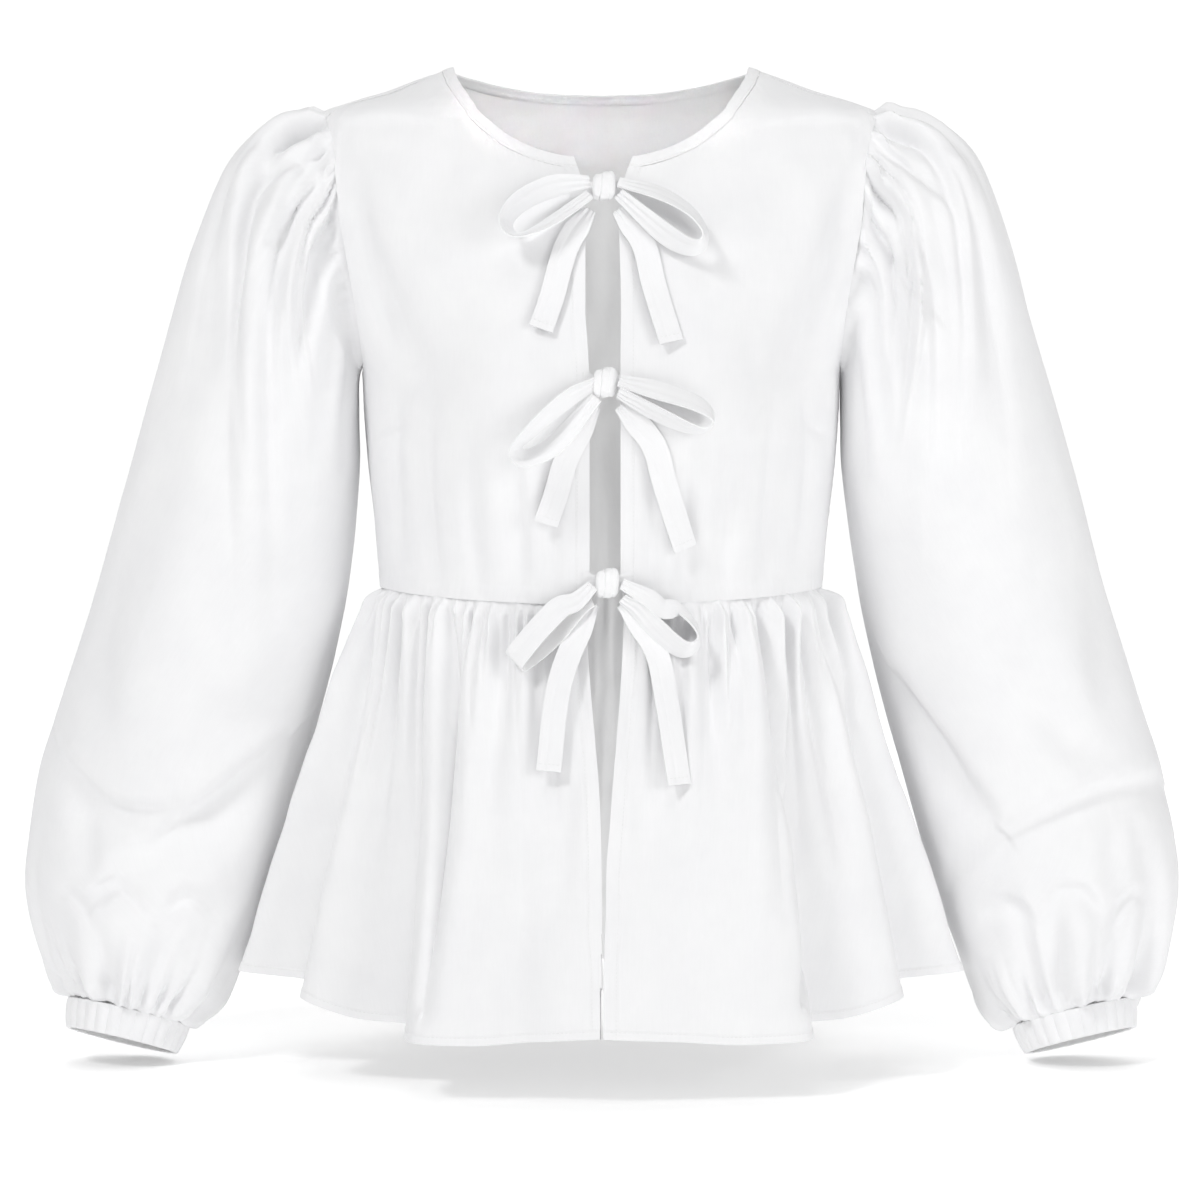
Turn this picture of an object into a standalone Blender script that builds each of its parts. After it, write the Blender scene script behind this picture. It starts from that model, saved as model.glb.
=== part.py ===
"""A peplum blouse in white cotton poplin, open down the front and tied with three bows.

Metres, +Z up. The front faces -Y and +X is the wearer's left. The origin lies midway between the
two points where the shoulder seams meet the neck, which is where the blouse hangs from its wearer.

Every cloth piece is a thin wall with an outer and an inner skin. The bodice is cut from one surface
of elliptical sections, torso(angle, height): the angle is 0 at the centre front, 90 at the side and
180 at the centre back, and the height is measured down from the neck points.
"""

import bmesh
import bpy
import numpy as np

WALL = 0.0012
SEAM_GAP = 0.0003
WHITE = (0.86, 0.86, 0.87, 1.0)
TIE_WHITE = (0.88, 0.88, 0.89, 1.0)
POPLIN_ROUGHNESS = 0.82

# ---------------------------------------------------------------- bodice sizes

TORSO_COLUMNS = ("height", "half_width", "front_depth", "back_depth")
TORSO_SECTIONS = (
    (0.0000, 0.0945, 0.042, 0.040),
    (-0.0085, 0.1187, 0.048, 0.046),
    (-0.0168, 0.1406, 0.054, 0.052),
    (-0.0240, 0.1658, 0.059, 0.058),
    (-0.0285, 0.1775, 0.062, 0.062),
    (-0.0345, 0.1830, 0.066, 0.066),
    (-0.0460, 0.1868, 0.071, 0.073),
    (-0.0650, 0.1885, 0.080, 0.084),
    (-0.0900, 0.1860, 0.089, 0.093),
    (-0.1150, 0.1790, 0.097, 0.099),
    (-0.1400, 0.1710, 0.102, 0.103),
    (-0.1650, 0.1630, 0.105, 0.104),
    (-0.1800, 0.1580, 0.106, 0.1035),
    (-0.1950, 0.1535, 0.107, 0.102),
    (-0.2200, 0.1525, 0.107, 0.099),
    (-0.2500, 0.1505, 0.104, 0.095),
    (-0.2870, 0.1464, 0.101, 0.092),
    (-0.3400, 0.1412, 0.0985, 0.092),
)
WAIST_HEIGHT = {"front": -0.338, "side": -0.333, "back": -0.335}
BUST = {"forward": 0.026, "x": 0.075, "height": -0.212, "wide": 0.048, "above": 0.038, "below": 0.048}

NECKLINE_COLUMNS = ("angle", "height")
NECKLINE = (
    (0.0, -0.0572),
    (6.5, -0.0561),
    (11.0, -0.0522),
    (16.8, -0.0452),
    (23.8, -0.0316),
    (32.6, -0.0185),
    (46.5, -0.0095),
    (58.0, -0.0050),
    (75.0, -0.0010),
    (90.0, 0.0000),
    (110.0, -0.0025),
    (135.0, -0.0070),
    (150.0, -0.0112),
    (167.0, -0.0155),
    (180.0, -0.0165),
)
NECK_BAND_WIDTH = 0.0075
NECK_BAND_WALL = 0.0016
SHOULDER_SEAM_ANGLE = 72.5

# The front edges stand apart, most of all between the bows.
FRONT_EDGE_COLUMNS = ("height", "right_edge", "left_edge")
FRONT_EDGES = (
    (-0.0564, 0.0177, 0.0206),
    (-0.0722, 0.0126, 0.0148),
    (-0.0950, 0.0097, 0.0112),
    (-0.1550, 0.0097, 0.0125),
    (-0.1800, 0.0080, 0.0122),
    (-0.1993, 0.0071, 0.0122),
    (-0.3238, 0.0071, 0.0122),
    (-0.3400, 0.0090, 0.0142),
    (-0.4710, 0.0002, 0.0055),
    (-0.5030, -0.0004, 0.0032),
    (-0.6100, -0.0012, 0.0024),
)

ARMHOLE = {"top": -0.0280, "bottom": -0.1950, "front": 0.040, "back": 0.045, "squareness": 2.4}
SEAM_AT_ARMHOLE = 24.0

# ---------------------------------------------------------------- peplum sizes

# The hem from the centre front round to the centre back: it swings out in flutes, and back between.
HEM_COLUMNS = ("angle_left", "angle_right", "radius", "height")
HEM = (
    (0, 0, 0.172, -0.6000),
    (16, 15, 0.171, -0.6030),
    (30, 27, 0.181, -0.6060),
    (41, 36, 0.195, -0.6050),
    (46, 42, 0.182, -0.6040),
    (52, 49, 0.158, -0.6020),
    (59, 58, 0.178, -0.6000),
    (68, 67, 0.205, -0.5890),
    (77, 77, 0.186, -0.5840),
    (85, 85, 0.234, -0.5800),
    (91, 91, 0.226, -0.5800),
    (100, 100, 0.192, -0.5820),
    (112, 112, 0.222, -0.5850),
    (125, 125, 0.176, -0.5920),
    (140, 140, 0.206, -0.5980),
    (155, 155, 0.166, -0.6000),
    (168, 168, 0.186, -0.6010),
    (180, 180, 0.172, -0.6000),
)
FLARE_POWER = 0.87
WAIST_GATHERS = {"front": 22, "back": 44}

# ---------------------------------------------------------------- sleeve sizes

SLEEVE_COLUMNS = ("outer_x", "outer_z", "inner_x", "inner_z", "front_depth", "back_depth", "y", "tip")
SLEEVE_SECTIONS = (
    (0.1871, -0.0295, 0.1542, -0.1987, 0.043, 0.047, 0.000, 0),
    (0.2051, -0.0303, 0.1548, -0.2064, 0.050, 0.052, 0.000, 0),
    (0.2226, -0.0398, 0.1548, -0.2161, 0.055, 0.056, 0.001, 0),
    (0.2427, -0.0643, 0.1549, -0.2308, 0.060, 0.060, 0.002, 0),
    (0.2636, -0.1157, 0.1550, -0.2515, 0.064, 0.063, 0.005, 0),
    (0.2866, -0.1930, 0.1572, -0.2772, 0.067, 0.065, 0.010, 0),
    (0.3086, -0.2705, 0.1614, -0.3160, 0.070, 0.067, 0.016, 0),
    (0.3315, -0.3483, 0.1703, -0.3679, 0.073, 0.070, 0.024, 1),
    (0.3524, -0.4103, 0.1830, -0.4167, 0.075, 0.073, 0.031, 2),
    (0.3665, -0.4527, 0.1943, -0.4559, 0.076, 0.075, 0.034, 3),
    (0.3748, -0.5048, 0.2073, -0.5016, 0.075, 0.075, 0.033, 4),
    (0.3750, -0.5306, 0.2200, -0.5404, 0.072, 0.072, 0.029, 6),
    (0.3696, -0.5562, 0.2332, -0.5737, 0.065, 0.065, 0.022, 8),
    (0.3594, -0.5814, 0.2454, -0.5996, 0.053, 0.053, 0.012, 11),
    (0.3492, -0.5962, 0.2596, -0.6143, 0.040, 0.040, 0.003, 13),
    (0.3447, -0.6004, 0.2682, -0.6185, 0.033, 0.033, -0.001, 14),
)
# The largest folds: each trough runs from one place on the sleeve to another.
FOLD_COLUMNS = ("turn", "along", "end_turn", "end_along", "width", "depth")
SLEEVE_FOLDS = (
    (58, 1.5, 50, 5.0, 0.020, 0.0040),
    (26, 9.8, 88, 10.5, 0.026, 0.0065),
    (150, 9.6, 68, 11.3, 0.024, 0.0065),
    (-60, 1.5, -52, 5.0, 0.020, 0.0040),
    (-30, 9.7, -95, 10.6, 0.026, 0.0060),
    (-152, 9.5, -74, 11.2, 0.024, 0.0060),
)
HEAD_GATHERS = 24
HEAD_GATHER_SPREAD = 125.0
HEAD_GATHER_HEIGHTS = ((0.0, 0.0008), (0.4, 0.0017), (1.3, 0.0017), (2.6, 0.0012), (4.0, 0.0))
WRIST_GATHERS = 28
WRIST_GATHER_HEIGHTS = ((12.0, 0.0), (12.8, 0.0010), (13.7, 0.0017), (14.8, 0.0017), (16.0, 0.0008))

CUFF = {"height": 0.019, "bottom_scale": 0.90, "wall": 0.0016, "rib": 0.0009, "bulge": 0.0008}

# ---------------------------------------------------------------- ties

RIBBON = {"width": 0.0154, "wall": 0.0014, "lift": 0.0018}
KNOT = {"width": 0.0140, "height": 0.0170, "depth": 0.0100, "bulge": 0.85}
KNOTS_COLUMNS = ("x", "height")
KNOTS = ((0.0019, -0.0793), (0.0039, -0.1993), (0.0039, -0.3238))

# Each ribbon runs from its knot: out is towards its own side, down is below the knot and proud is
# how far it stands off the cloth. Turn is the tilt of its width out of the cloth, in degrees.
RIBBON_COLUMNS = ("out", "down", "proud", "turn")
LOOPS = (
    {
        "right": (
            (0.0088, -0.002, 0.006, 60),
            (0.03, 0.002, 0.011, 50),
            (0.049, 0.012, 0.0145, 40),
            (0.0585, 0.024, 0.014, 25),
            (0.0525, 0.0325, 0.0125, 25),
            (0.034, 0.025, 0.0105, 40),
            (0.0088, 0.006, 0.0075, 60),
        ),
        "left": (
            (0.0088, -0.002, 0.006, 60),
            (0.033, 0.006, 0.011, 50),
            (0.052, 0.019, 0.0145, 40),
            (0.0605, 0.033, 0.014, 25),
            (0.054, 0.0405, 0.0125, 25),
            (0.037, 0.032, 0.0105, 40),
            (0.0088, 0.006, 0.0075, 60),
        ),
    },
    {
        "right": (
            (0.0088, 0, 0.006, 60),
            (0.027, 0.01, 0.011, 50),
            (0.045, 0.025, 0.0145, 40),
            (0.0545, 0.036, 0.014, 25),
            (0.0485, 0.0415, 0.0125, 25),
            (0.032, 0.033, 0.0105, 40),
            (0.0088, 0.009, 0.0075, 60),
        ),
        "left": (
            (0.0088, -0.001, 0.006, 60),
            (0.032, 0.005, 0.011, 50),
            (0.052, 0.012, 0.0145, 40),
            (0.0605, 0.02, 0.014, 25),
            (0.055, 0.027, 0.0125, 25),
            (0.037, 0.021, 0.0105, 40),
            (0.0088, 0.006, 0.0075, 60),
        ),
    },
    {
        "right": (
            (0.0094, 0, 0.006, 60),
            (0.023, 0.01, 0.011, 65),
            (0.037, 0.026, 0.0145, 65),
            (0.0485, 0.043, 0.014, 60),
            (0.046, 0.05, 0.0125, 50),
            (0.03, 0.037, 0.0105, 60),
            (0.0094, 0.009, 0.0075, 60),
        ),
        "left": (
            (0.0088, 0, 0.006, 60),
            (0.03, 0.012, 0.011, 50),
            (0.047, 0.028, 0.0145, 40),
            (0.0525, 0.041, 0.014, 25),
            (0.044, 0.046, 0.0125, 25),
            (0.028, 0.033, 0.0105, 40),
            (0.0088, 0.009, 0.0075, 60),
        ),
    },
)
TAILS = (
    {
        "right": (
            (0.0085, 0.014, 0.0018, 88),
            (0.023, 0.036, 0.0012, 86),
            (0.032, 0.067, 0.0012, 84),
            (0.039, 0.0875, 0.0018, 80),
        ),
        "left": (
            (0.0085, 0.014, 0.0018, 88),
            (0.024, 0.034, 0.0012, 86),
            (0.031, 0.061, 0.0012, 84),
            (0.0415, 0.0955, 0.0018, 80),
        ),
    },
    {
        "right": (
            (0.0085, 0.014, 0.0018, 88),
            (0.025, 0.045, 0.0012, 86),
            (0.032, 0.069, 0.0012, 84),
            (0.038, 0.087, 0.0018, 80),
        ),
        "left": (
            (0.0085, 0.014, 0.0018, 88),
            (0.028, 0.036, 0.0012, 86),
            (0.036, 0.063, 0.0012, 84),
            (0.048, 0.103, 0.0018, 80),
        ),
    },
    {
        "right": (
            (0.0085, 0.014, 0.003, 88),
            (0.023, 0.047, 0.0028, 86),
            (0.028, 0.074, 0.0024, 84),
            (0.031, 0.112, 0.0026, 80),
        ),
        "left": (
            (0.0085, 0.014, 0.003, 88),
            (0.028, 0.043, 0.0028, 86),
            (0.035, 0.074, 0.0024, 84),
            (0.043, 0.1255, 0.0026, 80),
        ),
    },
)
LOOP_SEGMENTS = 16
TAIL_SEGMENTS = 9

LEFT, RIGHT = 1.0, -1.0


# ---------------------------------------------------------------- curves through a table


def smooth_curve(xs, ys, x):
    """A smooth curve through the points (xs, ys), xs rising, that doesn't overshoot between them."""
    xs = np.asarray(xs, float)
    ys = np.asarray(ys, float)
    step = np.diff(xs)
    slope = np.diff(ys) / step
    tangent = np.zeros(len(xs))
    tangent[0] = slope[0]
    tangent[-1] = slope[-1]
    same_way = slope[:-1] * slope[1:] > 0
    low, high = slope[:-1][same_way], slope[1:][same_way]
    tangent[1:-1][same_way] = 2 * low * high / (low + high)
    x = np.clip(np.asarray(x, float), xs[0], xs[-1])
    i = np.clip(np.searchsorted(xs, x, side="right") - 1, 0, len(step) - 1)
    t = (x - xs[i]) / step[i]
    start = (1 + 2 * t) * (1 - t) ** 2 * ys[i] + t * (1 - t) ** 2 * step[i] * tangent[i]
    end = t * t * (3 - 2 * t) * ys[i + 1] + t * t * (t - 1) * step[i] * tangent[i + 1]
    return start + end


def column(rows, names, wanted, key, x):
    """The column called wanted, read at x of the column called key."""
    table = sorted(rows, key=lambda row: row[names.index(key)])
    keys = [row[names.index(key)] for row in table]
    return smooth_curve(keys, [row[names.index(wanted)] for row in table], x)


def through(points, s):
    """A smooth path through points of any shape, stacked along the first axis, at places s."""
    points = np.asarray(points, float)
    s = np.clip(np.asarray(s, float), 0, len(points) - 1)
    i = np.minimum(s.astype(int), len(points) - 2)
    t = (s - i).reshape((-1,) + (1,) * (points.ndim - 1))
    tangent = np.gradient(points, axis=0)
    start = (1 + 2 * t) * (1 - t) ** 2 * points[i] + t * (1 - t) ** 2 * tangent[i]
    end = t * t * (3 - 2 * t) * points[i + 1] + t * t * (t - 1) * tangent[i + 1]
    return start + end


def stacked(*parts):
    return np.stack(np.broadcast_arrays(*parts), axis=-1)


def unit(v):
    return v / np.maximum(np.linalg.norm(v, axis=-1, keepdims=True), 1e-12)


def ridges(turns):
    """Rounded ridges, one for each whole turn: 0 in the valleys and 1 on the crests."""
    return 0.5 - 0.5 * np.cos(2 * np.pi * turns)


# ---------------------------------------------------------------- meshes from rows of points


class Cloth:
    """A closed mesh whose skins are laid row by row. A row may have its own number of points, and
    places says where each one is along the row, from 0 to 1."""

    def __init__(self):
        self.points = []
        self.faces = []

    def row(self, points, places=None):
        first = len(self.points)
        self.points.extend(map(tuple, np.asarray(points, float)))
        if places is None:
            places = np.linspace(0, 1, len(points))
        return list(zip(range(first, first + len(points)), places))

    def join(self, a, b, closed=False):
        """Triangles between two rows, always to the nearer next place."""
        if closed:
            a = a + [(a[0][0], a[0][1] + 1)]
            b = b + [(b[0][0], b[0][1] + 1)]
        i = j = 0
        while i < len(a) - 1 or j < len(b) - 1:
            a_is_next = i < len(a) - 1 and (j == len(b) - 1 or a[i + 1][1] <= b[j + 1][1] + 1e-9)
            if a_is_next:
                self.faces.append((a[i][0], a[i + 1][0], b[j][0]))
                i += 1
            else:
                self.faces.append((a[i][0], b[j + 1][0], b[j][0]))
                j += 1

    def skin(self, rows, closed=False):
        """A skin over rows, each one an array of points or a pair of points and places."""
        laid = [self.row(*r) if isinstance(r, tuple) else self.row(r) for r in rows]
        for low, high in zip(laid, laid[1:]):
            self.join(low, high, closed)
        return laid

    def edge(self, rows, end):
        """The points at one end of each row, evenly placed from the first row to the last."""
        return [(row[end][0], place) for row, place in zip(rows, np.linspace(0, 1, len(rows)))]

    def wall(self, outer_rows, inner_rows, closed=False):
        """Both skins and the rims between them: two for a tube, four for an open panel."""
        outer = self.skin(outer_rows, closed)
        inner = self.skin(inner_rows, closed)
        self.join(outer[0], inner[0], closed)
        self.join(outer[-1], inner[-1], closed)
        if not closed:
            for end in (0, -1):
                self.join(self.edge(outer, end), self.edge(inner, end))

    def build(self, name, colour=WHITE):
        mesh = bpy.data.meshes.new(name)
        mesh.from_pydata(self.points, [], self.faces)
        body = bmesh.new()
        body.from_mesh(mesh)
        bmesh.ops.recalc_face_normals(body, faces=body.faces)
        if body.calc_volume(signed=True) < 0:
            bmesh.ops.reverse_faces(body, faces=body.faces)
        body.to_mesh(mesh)
        body.free()
        mesh.shade_smooth()
        thing = bpy.data.objects.new(name, mesh)
        thing.data.materials.append(cloth_material(name, colour))
        bpy.context.scene.collection.objects.link(thing)
        return thing


def cloth_material(name, colour):
    material = bpy.data.materials.new(name + "_cloth")
    material.use_nodes = True
    shader = material.node_tree.nodes["Principled BSDF"]
    shader.inputs["Base Color"].default_value = colour
    shader.inputs["Roughness"].default_value = POPLIN_ROUGHNESS
    shader.inputs["Metallic"].default_value = 0.0
    return material


# ---------------------------------------------------------------- the bodice surface


def torso_size(height, name):
    return column(TORSO_SECTIONS, TORSO_COLUMNS, name, "height", height)


def bust(x, height):
    below = height < BUST["height"]
    tall = np.where(below, BUST["below"], BUST["above"])
    across = ((np.abs(x) - BUST["x"]) / BUST["wide"]) ** 2
    along = ((height - BUST["height"]) / tall) ** 2
    return BUST["forward"] * np.exp(-(across + along) / 2)


def torso(angle, height):
    """The point of the bodice's outer side at this angle from the centre front and this height."""
    turn = np.radians(angle)
    x = torso_size(height, "half_width") * np.sin(turn)
    forward = np.cos(turn)
    in_front = forward > 0
    depth = np.where(in_front, torso_size(height, "front_depth"), torso_size(height, "back_depth"))
    y = -depth * forward - np.where(in_front, bust(x, height) * forward**2, 0)
    return stacked(x, y, height)


def torso_normal(angle, height):
    round_it = torso(angle + 0.05, height) - torso(angle - 0.05, height)
    up = torso(angle, height + 0.0003) - torso(angle, height - 0.0003)
    return unit(np.cross(round_it, up))


def waist_height(angle):
    forward = np.cos(np.radians(angle))
    end = np.where(forward > 0, WAIST_HEIGHT["front"], WAIST_HEIGHT["back"])
    return WAIST_HEIGHT["side"] + (end - WAIST_HEIGHT["side"]) * forward**2


def front_edge_x(height, side):
    """How far the front edge is from the centre line, on its own side."""
    name = "left_edge" if side == LEFT else "right_edge"
    return column(FRONT_EDGES, FRONT_EDGE_COLUMNS, name, "height", height)


def front_edge_angle(height, side):
    return np.degrees(np.arcsin(front_edge_x(height, side) / torso_size(height, "half_width")))


def armhole(turn):
    """Angle and height on the bodice of the armhole: 0 is its top, 90 its front, 180 its bottom."""
    turn = np.radians(turn)
    power = 2 / ARMHOLE["squareness"]
    rise = np.sign(np.cos(turn)) * np.abs(np.cos(turn)) ** power
    reach = np.sign(np.sin(turn)) * np.abs(np.sin(turn)) ** power
    middle = (ARMHOLE["top"] + ARMHOLE["bottom"]) / 2
    height = middle + (ARMHOLE["top"] - middle) * rise
    front = np.degrees(np.arccos(ARMHOLE["front"] * reach.clip(0, 1) / torso_size(height, "front_depth")))
    back = np.degrees(np.arccos(-ARMHOLE["back"] * (-reach).clip(0, 1) / torso_size(height, "back_depth")))
    return np.where(reach > 0, front, back), height


def neckline_height(angle):
    return column(NECKLINE, NECKLINE_COLUMNS, "height", "angle", angle)


def neck_seam_height(angle, width):
    """The height, at each angle, of the line that runs this far below the neckline on the cloth."""
    edge = neckline_height(angle)
    start = torso(angle, edge)
    along = unit(torso(angle + 0.5, neckline_height(angle + 0.5)) - torso(angle - 0.5, neckline_height(np.abs(angle - 0.5))))
    down = unit(torso(angle, edge - 0.002) - start)
    square_on = np.linalg.norm(np.cross(along, down), axis=-1)
    length = width / square_on.clip(0.6, 1)
    near, far = edge, edge - 0.02
    for _ in range(30):
        middle = (near + far) / 2
        short = np.linalg.norm(torso(angle, middle) - start, axis=-1) < length
        near = np.where(short, middle, near)
        far = np.where(short, far, middle)
    return (near + far) / 2


def patch(bottom, top, start, end):
    """Angles and heights over a panel, blended from the angles and heights along its four edges."""
    u = np.linspace(0, 1, len(bottom[0]))[None, :]
    v = np.linspace(0, 1, len(start[0]))[:, None]
    grid = []
    for low, high, left, right in zip(bottom, top, start, end):
        corners = (1 - v) * ((1 - u) * low[0] + u * low[-1]) + v * ((1 - u) * high[0] + u * high[-1])
        across = (1 - v) * low[None, :] + v * high[None, :]
        along = (1 - u) * left[:, None] + u * right[:, None]
        grid.append(across + along - corners)
    return grid


def evenly(line, first, last, count):
    """count angles from first to last, evenly apart on the cloth along the heights line(angle)."""
    angle = np.linspace(first, last, 400)
    steps = np.linalg.norm(np.diff(torso(angle, line(angle)), axis=0), axis=1)
    walked = np.concatenate([[0], np.cumsum(steps)])
    return np.interp(np.linspace(0, walked[-1], count), walked, angle)


def front_corner(line, side):
    """The angle at which a line of heights meets the front edge."""
    angle = 5.0
    for _ in range(6):
        angle = float(front_edge_angle(line(np.array([angle]))[0], side))
    return angle


def torso_panel(name, grid, side, wall=WALL, both_sides=False):
    """A panel of the bodice from its angles and heights. Between its top and bottom rows the inner
    skin has every second column."""
    angle, height = grid
    outer = torso(angle, height)
    inner = outer - torso_normal(angle, height) * wall
    skins = []
    for skin in (outer, inner):
        skin = skin * np.array((side, 1, 1))
        if both_sides:
            skin = np.concatenate([skin[:, :0:-1] * np.array((-1, 1, 1)), skin], axis=1)
        skins.append(skin)
    inner_rows = [skins[1][0]] + [row[::2] for row in skins[1][1:-1]] + [skins[1][-1]]
    cloth = Cloth()
    cloth.wall(list(skins[0]), inner_rows)
    return cloth.build(name)


# ---------------------------------------------------------------- bodice and neck band

SIDE_SEAM_ROWS = 6
NECK_COLUMNS = 9
SHOULDER_COLUMNS = 5
FRONT_ARMHOLE_TURNS = np.linspace(180.0, SEAM_AT_ARMHOLE, 13)
BACK_ARMHOLE_TURNS = np.linspace(180.0, 360.0 + SEAM_AT_ARMHOLE, 17)
SIDE_GAP_ANGLE = 0.06
SHOULDER_GAP_ANGLE = 0.2


def side_and_armhole(turns, gap_angle):
    """Angles and heights up the side seam and on round the armhole."""
    side = np.linspace(WAIST_HEIGHT["side"], ARMHOLE["bottom"], SIDE_SEAM_ROWS + 1)[:-1]
    angle, height = armhole(turns)
    angles = np.concatenate([np.full(len(side), 90.0), angle])
    angles[: len(side) + 1] += gap_angle
    return angles, np.concatenate([side, height])


def shoulder_and_neck(first, line, gap_angle):
    """Angles and heights from first along the line under the neck, then out to the armhole."""
    seam_angle = SHOULDER_SEAM_ANGLE + gap_angle
    neck = evenly(line, first, seam_angle, NECK_COLUMNS)
    end_angle, end_height = armhole(np.array([SEAM_AT_ARMHOLE]))
    out = np.linspace(0, 1, SHOULDER_COLUMNS)[1:]
    start_height = line(np.array([seam_angle]))[0]
    angles = np.concatenate([neck, seam_angle + (end_angle[0] + gap_angle - seam_angle) * out])
    return angles, np.concatenate([line(neck), start_height + (end_height[0] - start_height) * out])


def below_band(angle):
    return neck_seam_height(angle, NECK_BAND_WIDTH + SEAM_GAP)


def band_seam(angle):
    return neck_seam_height(angle, NECK_BAND_WIDTH)


def bodice_front(name, side):
    top = shoulder_and_neck(front_corner(below_band, side), below_band, -SHOULDER_GAP_ANGLE)
    end = side_and_armhole(FRONT_ARMHOLE_TURNS, -SIDE_GAP_ANGLE)
    end[0][-1] -= SHOULDER_GAP_ANGLE
    start_height = np.linspace(WAIST_HEIGHT["front"], top[1][0], len(end[0]))
    start = front_edge_angle(start_height, side), start_height
    low_angle = np.linspace(start[0][0], end[0][0], len(top[0]))
    bottom = low_angle, waist_height(low_angle)
    return torso_panel(name, patch(bottom, top, start, end), side)


def bodice_back(name):
    top = shoulder_and_neck(180.0, below_band, SHOULDER_GAP_ANGLE)
    end = side_and_armhole(BACK_ARMHOLE_TURNS, SIDE_GAP_ANGLE)
    end[0][-1] += SHOULDER_GAP_ANGLE
    start_height = np.linspace(WAIST_HEIGHT["back"], top[1][0], len(end[0]))
    start = np.full(len(end[0]), 180.0), start_height
    low_angle = np.linspace(180.0, end[0][0], len(top[0]))
    bottom = low_angle, waist_height(low_angle)
    return torso_panel(name, patch(bottom, top, start, end), LEFT, both_sides=True)


def neck_band(name, side, from_back=False):
    """The strip along the neckline: it lies edge to edge with the panel below it."""
    gap_angle = SHOULDER_GAP_ANGLE if from_back else -SHOULDER_GAP_ANGLE
    last = SHOULDER_SEAM_ANGLE + gap_angle
    rows = []
    for line, panel_line in ((band_seam, below_band), (neckline_height, neckline_height)):
        first = 180.0 if from_back else front_corner(line, side)
        angle = evenly(panel_line, first, last, NECK_COLUMNS)
        rows.append((angle, line(angle)))
    grid = [np.stack(part) for part in zip(*rows)]
    return torso_panel(name, grid, side, NECK_BAND_WALL, both_sides=from_back)


# ---------------------------------------------------------------- peplum


def hem_size(angle, side, name):
    key = "angle_left" if side == LEFT else "angle_right"
    return column(HEM, HEM_COLUMNS, name, key, np.abs(angle))


def peplum(angle, down, side):
    """The peplum's outer side at this angle, down from 0 at the waist seam to 1 at the hem."""
    top = torso(angle, waist_height(angle) - SEAM_GAP)
    turn = np.radians(angle)
    radius = hem_size(angle, side, "radius")
    flare = down**FLARE_POWER
    x = (1 - flare) * top[..., 0] + flare * radius * np.sin(turn)
    y = (1 - flare) * top[..., 1] - flare * radius * np.cos(turn)
    z = (1 - down) * top[..., 2] + down * hem_size(angle, side, "height")
    return stacked(x, y, z)


def peplum_normal(angle, down, side):
    round_it = peplum(angle + 0.3, down, side) - peplum(angle - 0.3, down, side)
    up = peplum(angle, (down - 0.01).clip(0.002, 1), side) - peplum(angle, down + 0.01, side)
    return unit(np.cross(round_it, up))


def peplum_edge_angle(down, side):
    """The angle of the front edge, from its distance to the centre line at each height."""
    height = (1 - down) * WAIST_HEIGHT["front"] + down * HEM[0][HEM_COLUMNS.index("height")]
    flare = down**FLARE_POWER
    waist = torso_size(np.array(WAIST_HEIGHT["front"]), "half_width")
    reach = (1 - flare) * waist + flare * HEM[0][HEM_COLUMNS.index("radius")]
    return np.degrees(np.arcsin(front_edge_x(height, side) / reach))


PEPLUM_COLUMNS = 32
GATHER_POINTS = 3
GATHER_ROWS = ((0.0, 0.0010), (0.022, 0.0017), (0.075, 0.0015), (0.15, 0.0008))
FLUTE_ROWS = (0.27, 0.42, 0.57, 0.72, 0.86, 1.0)
PLAIN_ROWS = (0.0, 0.12, 0.27, 0.45, 0.65, 0.84, 1.0)


def peplum_row(down, angles, side, proud=0.0):
    """A row of the peplum, with its places along it."""
    down = np.full(len(angles), down)
    points = peplum(angles, down, side) + peplum_normal(angles, down, side) * np.reshape(proud, (-1, 1))
    return points * np.array((side, 1, 1))


def peplum_front(name, side):
    def angles(down, count):
        return np.linspace(peplum_edge_angle(down, side), 90.0 - SIDE_GAP_ANGLE, count + 1)

    gathers = WAIST_GATHERS["front"]
    fine = gathers * GATHER_POINTS
    turns = np.linspace(0, gathers, fine + 1)
    outer = [peplum_row(d, angles(d, fine), side, high * ridges(turns)) for d, high in GATHER_ROWS]
    outer += [peplum_row(d, angles(d, PEPLUM_COLUMNS), side) for d in FLUTE_ROWS]
    inner = [peplum_row(d, angles(d, PEPLUM_COLUMNS), side, -WALL) for d in PLAIN_ROWS]
    cloth = Cloth()
    cloth.wall(outer, inner)
    return cloth.build(name)


def peplum_back(name):
    """The back runs from the right side seam round to the left one."""

    def row(down, count, proud=0.0):
        angle = np.linspace(90.0 + SIDE_GAP_ANGLE, 180.0, count // 2 + 1)
        proud = np.broadcast_to(proud, (count + 1,))
        left = peplum_row(down, angle, LEFT, proud[count // 2 :][::-1])
        right = peplum_row(down, angle, RIGHT, proud[: count // 2 + 1])
        return np.concatenate([right, left[-2::-1]])

    gathers = WAIST_GATHERS["back"]
    fine = gathers * GATHER_POINTS
    turns = np.linspace(0, gathers, fine + 1)
    outer = [row(d, fine, high * ridges(turns)) for d, high in GATHER_ROWS]
    outer += [row(d, 2 * PEPLUM_COLUMNS) for d in FLUTE_ROWS]
    inner = [row(d, 2 * PEPLUM_COLUMNS, -WALL) for d in PLAIN_ROWS]
    cloth = Cloth()
    cloth.wall(outer, inner)
    return cloth.build(name)


# ---------------------------------------------------------------- sleeves and cuffs


def armhole_line(turn):
    """The armhole's edge in space, straight between the corners that the bodice panels have."""
    corners = np.concatenate([FRONT_ARMHOLE_TURNS[::-1], BACK_ARMHOLE_TURNS[1:]])
    places = torso(*armhole(corners))
    turn = (np.asarray(turn, float) - SEAM_AT_ARMHOLE) % 360 + SEAM_AT_ARMHOLE
    return stacked(*(np.interp(turn, corners, places[:, k]) for k in range(3)))


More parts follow.
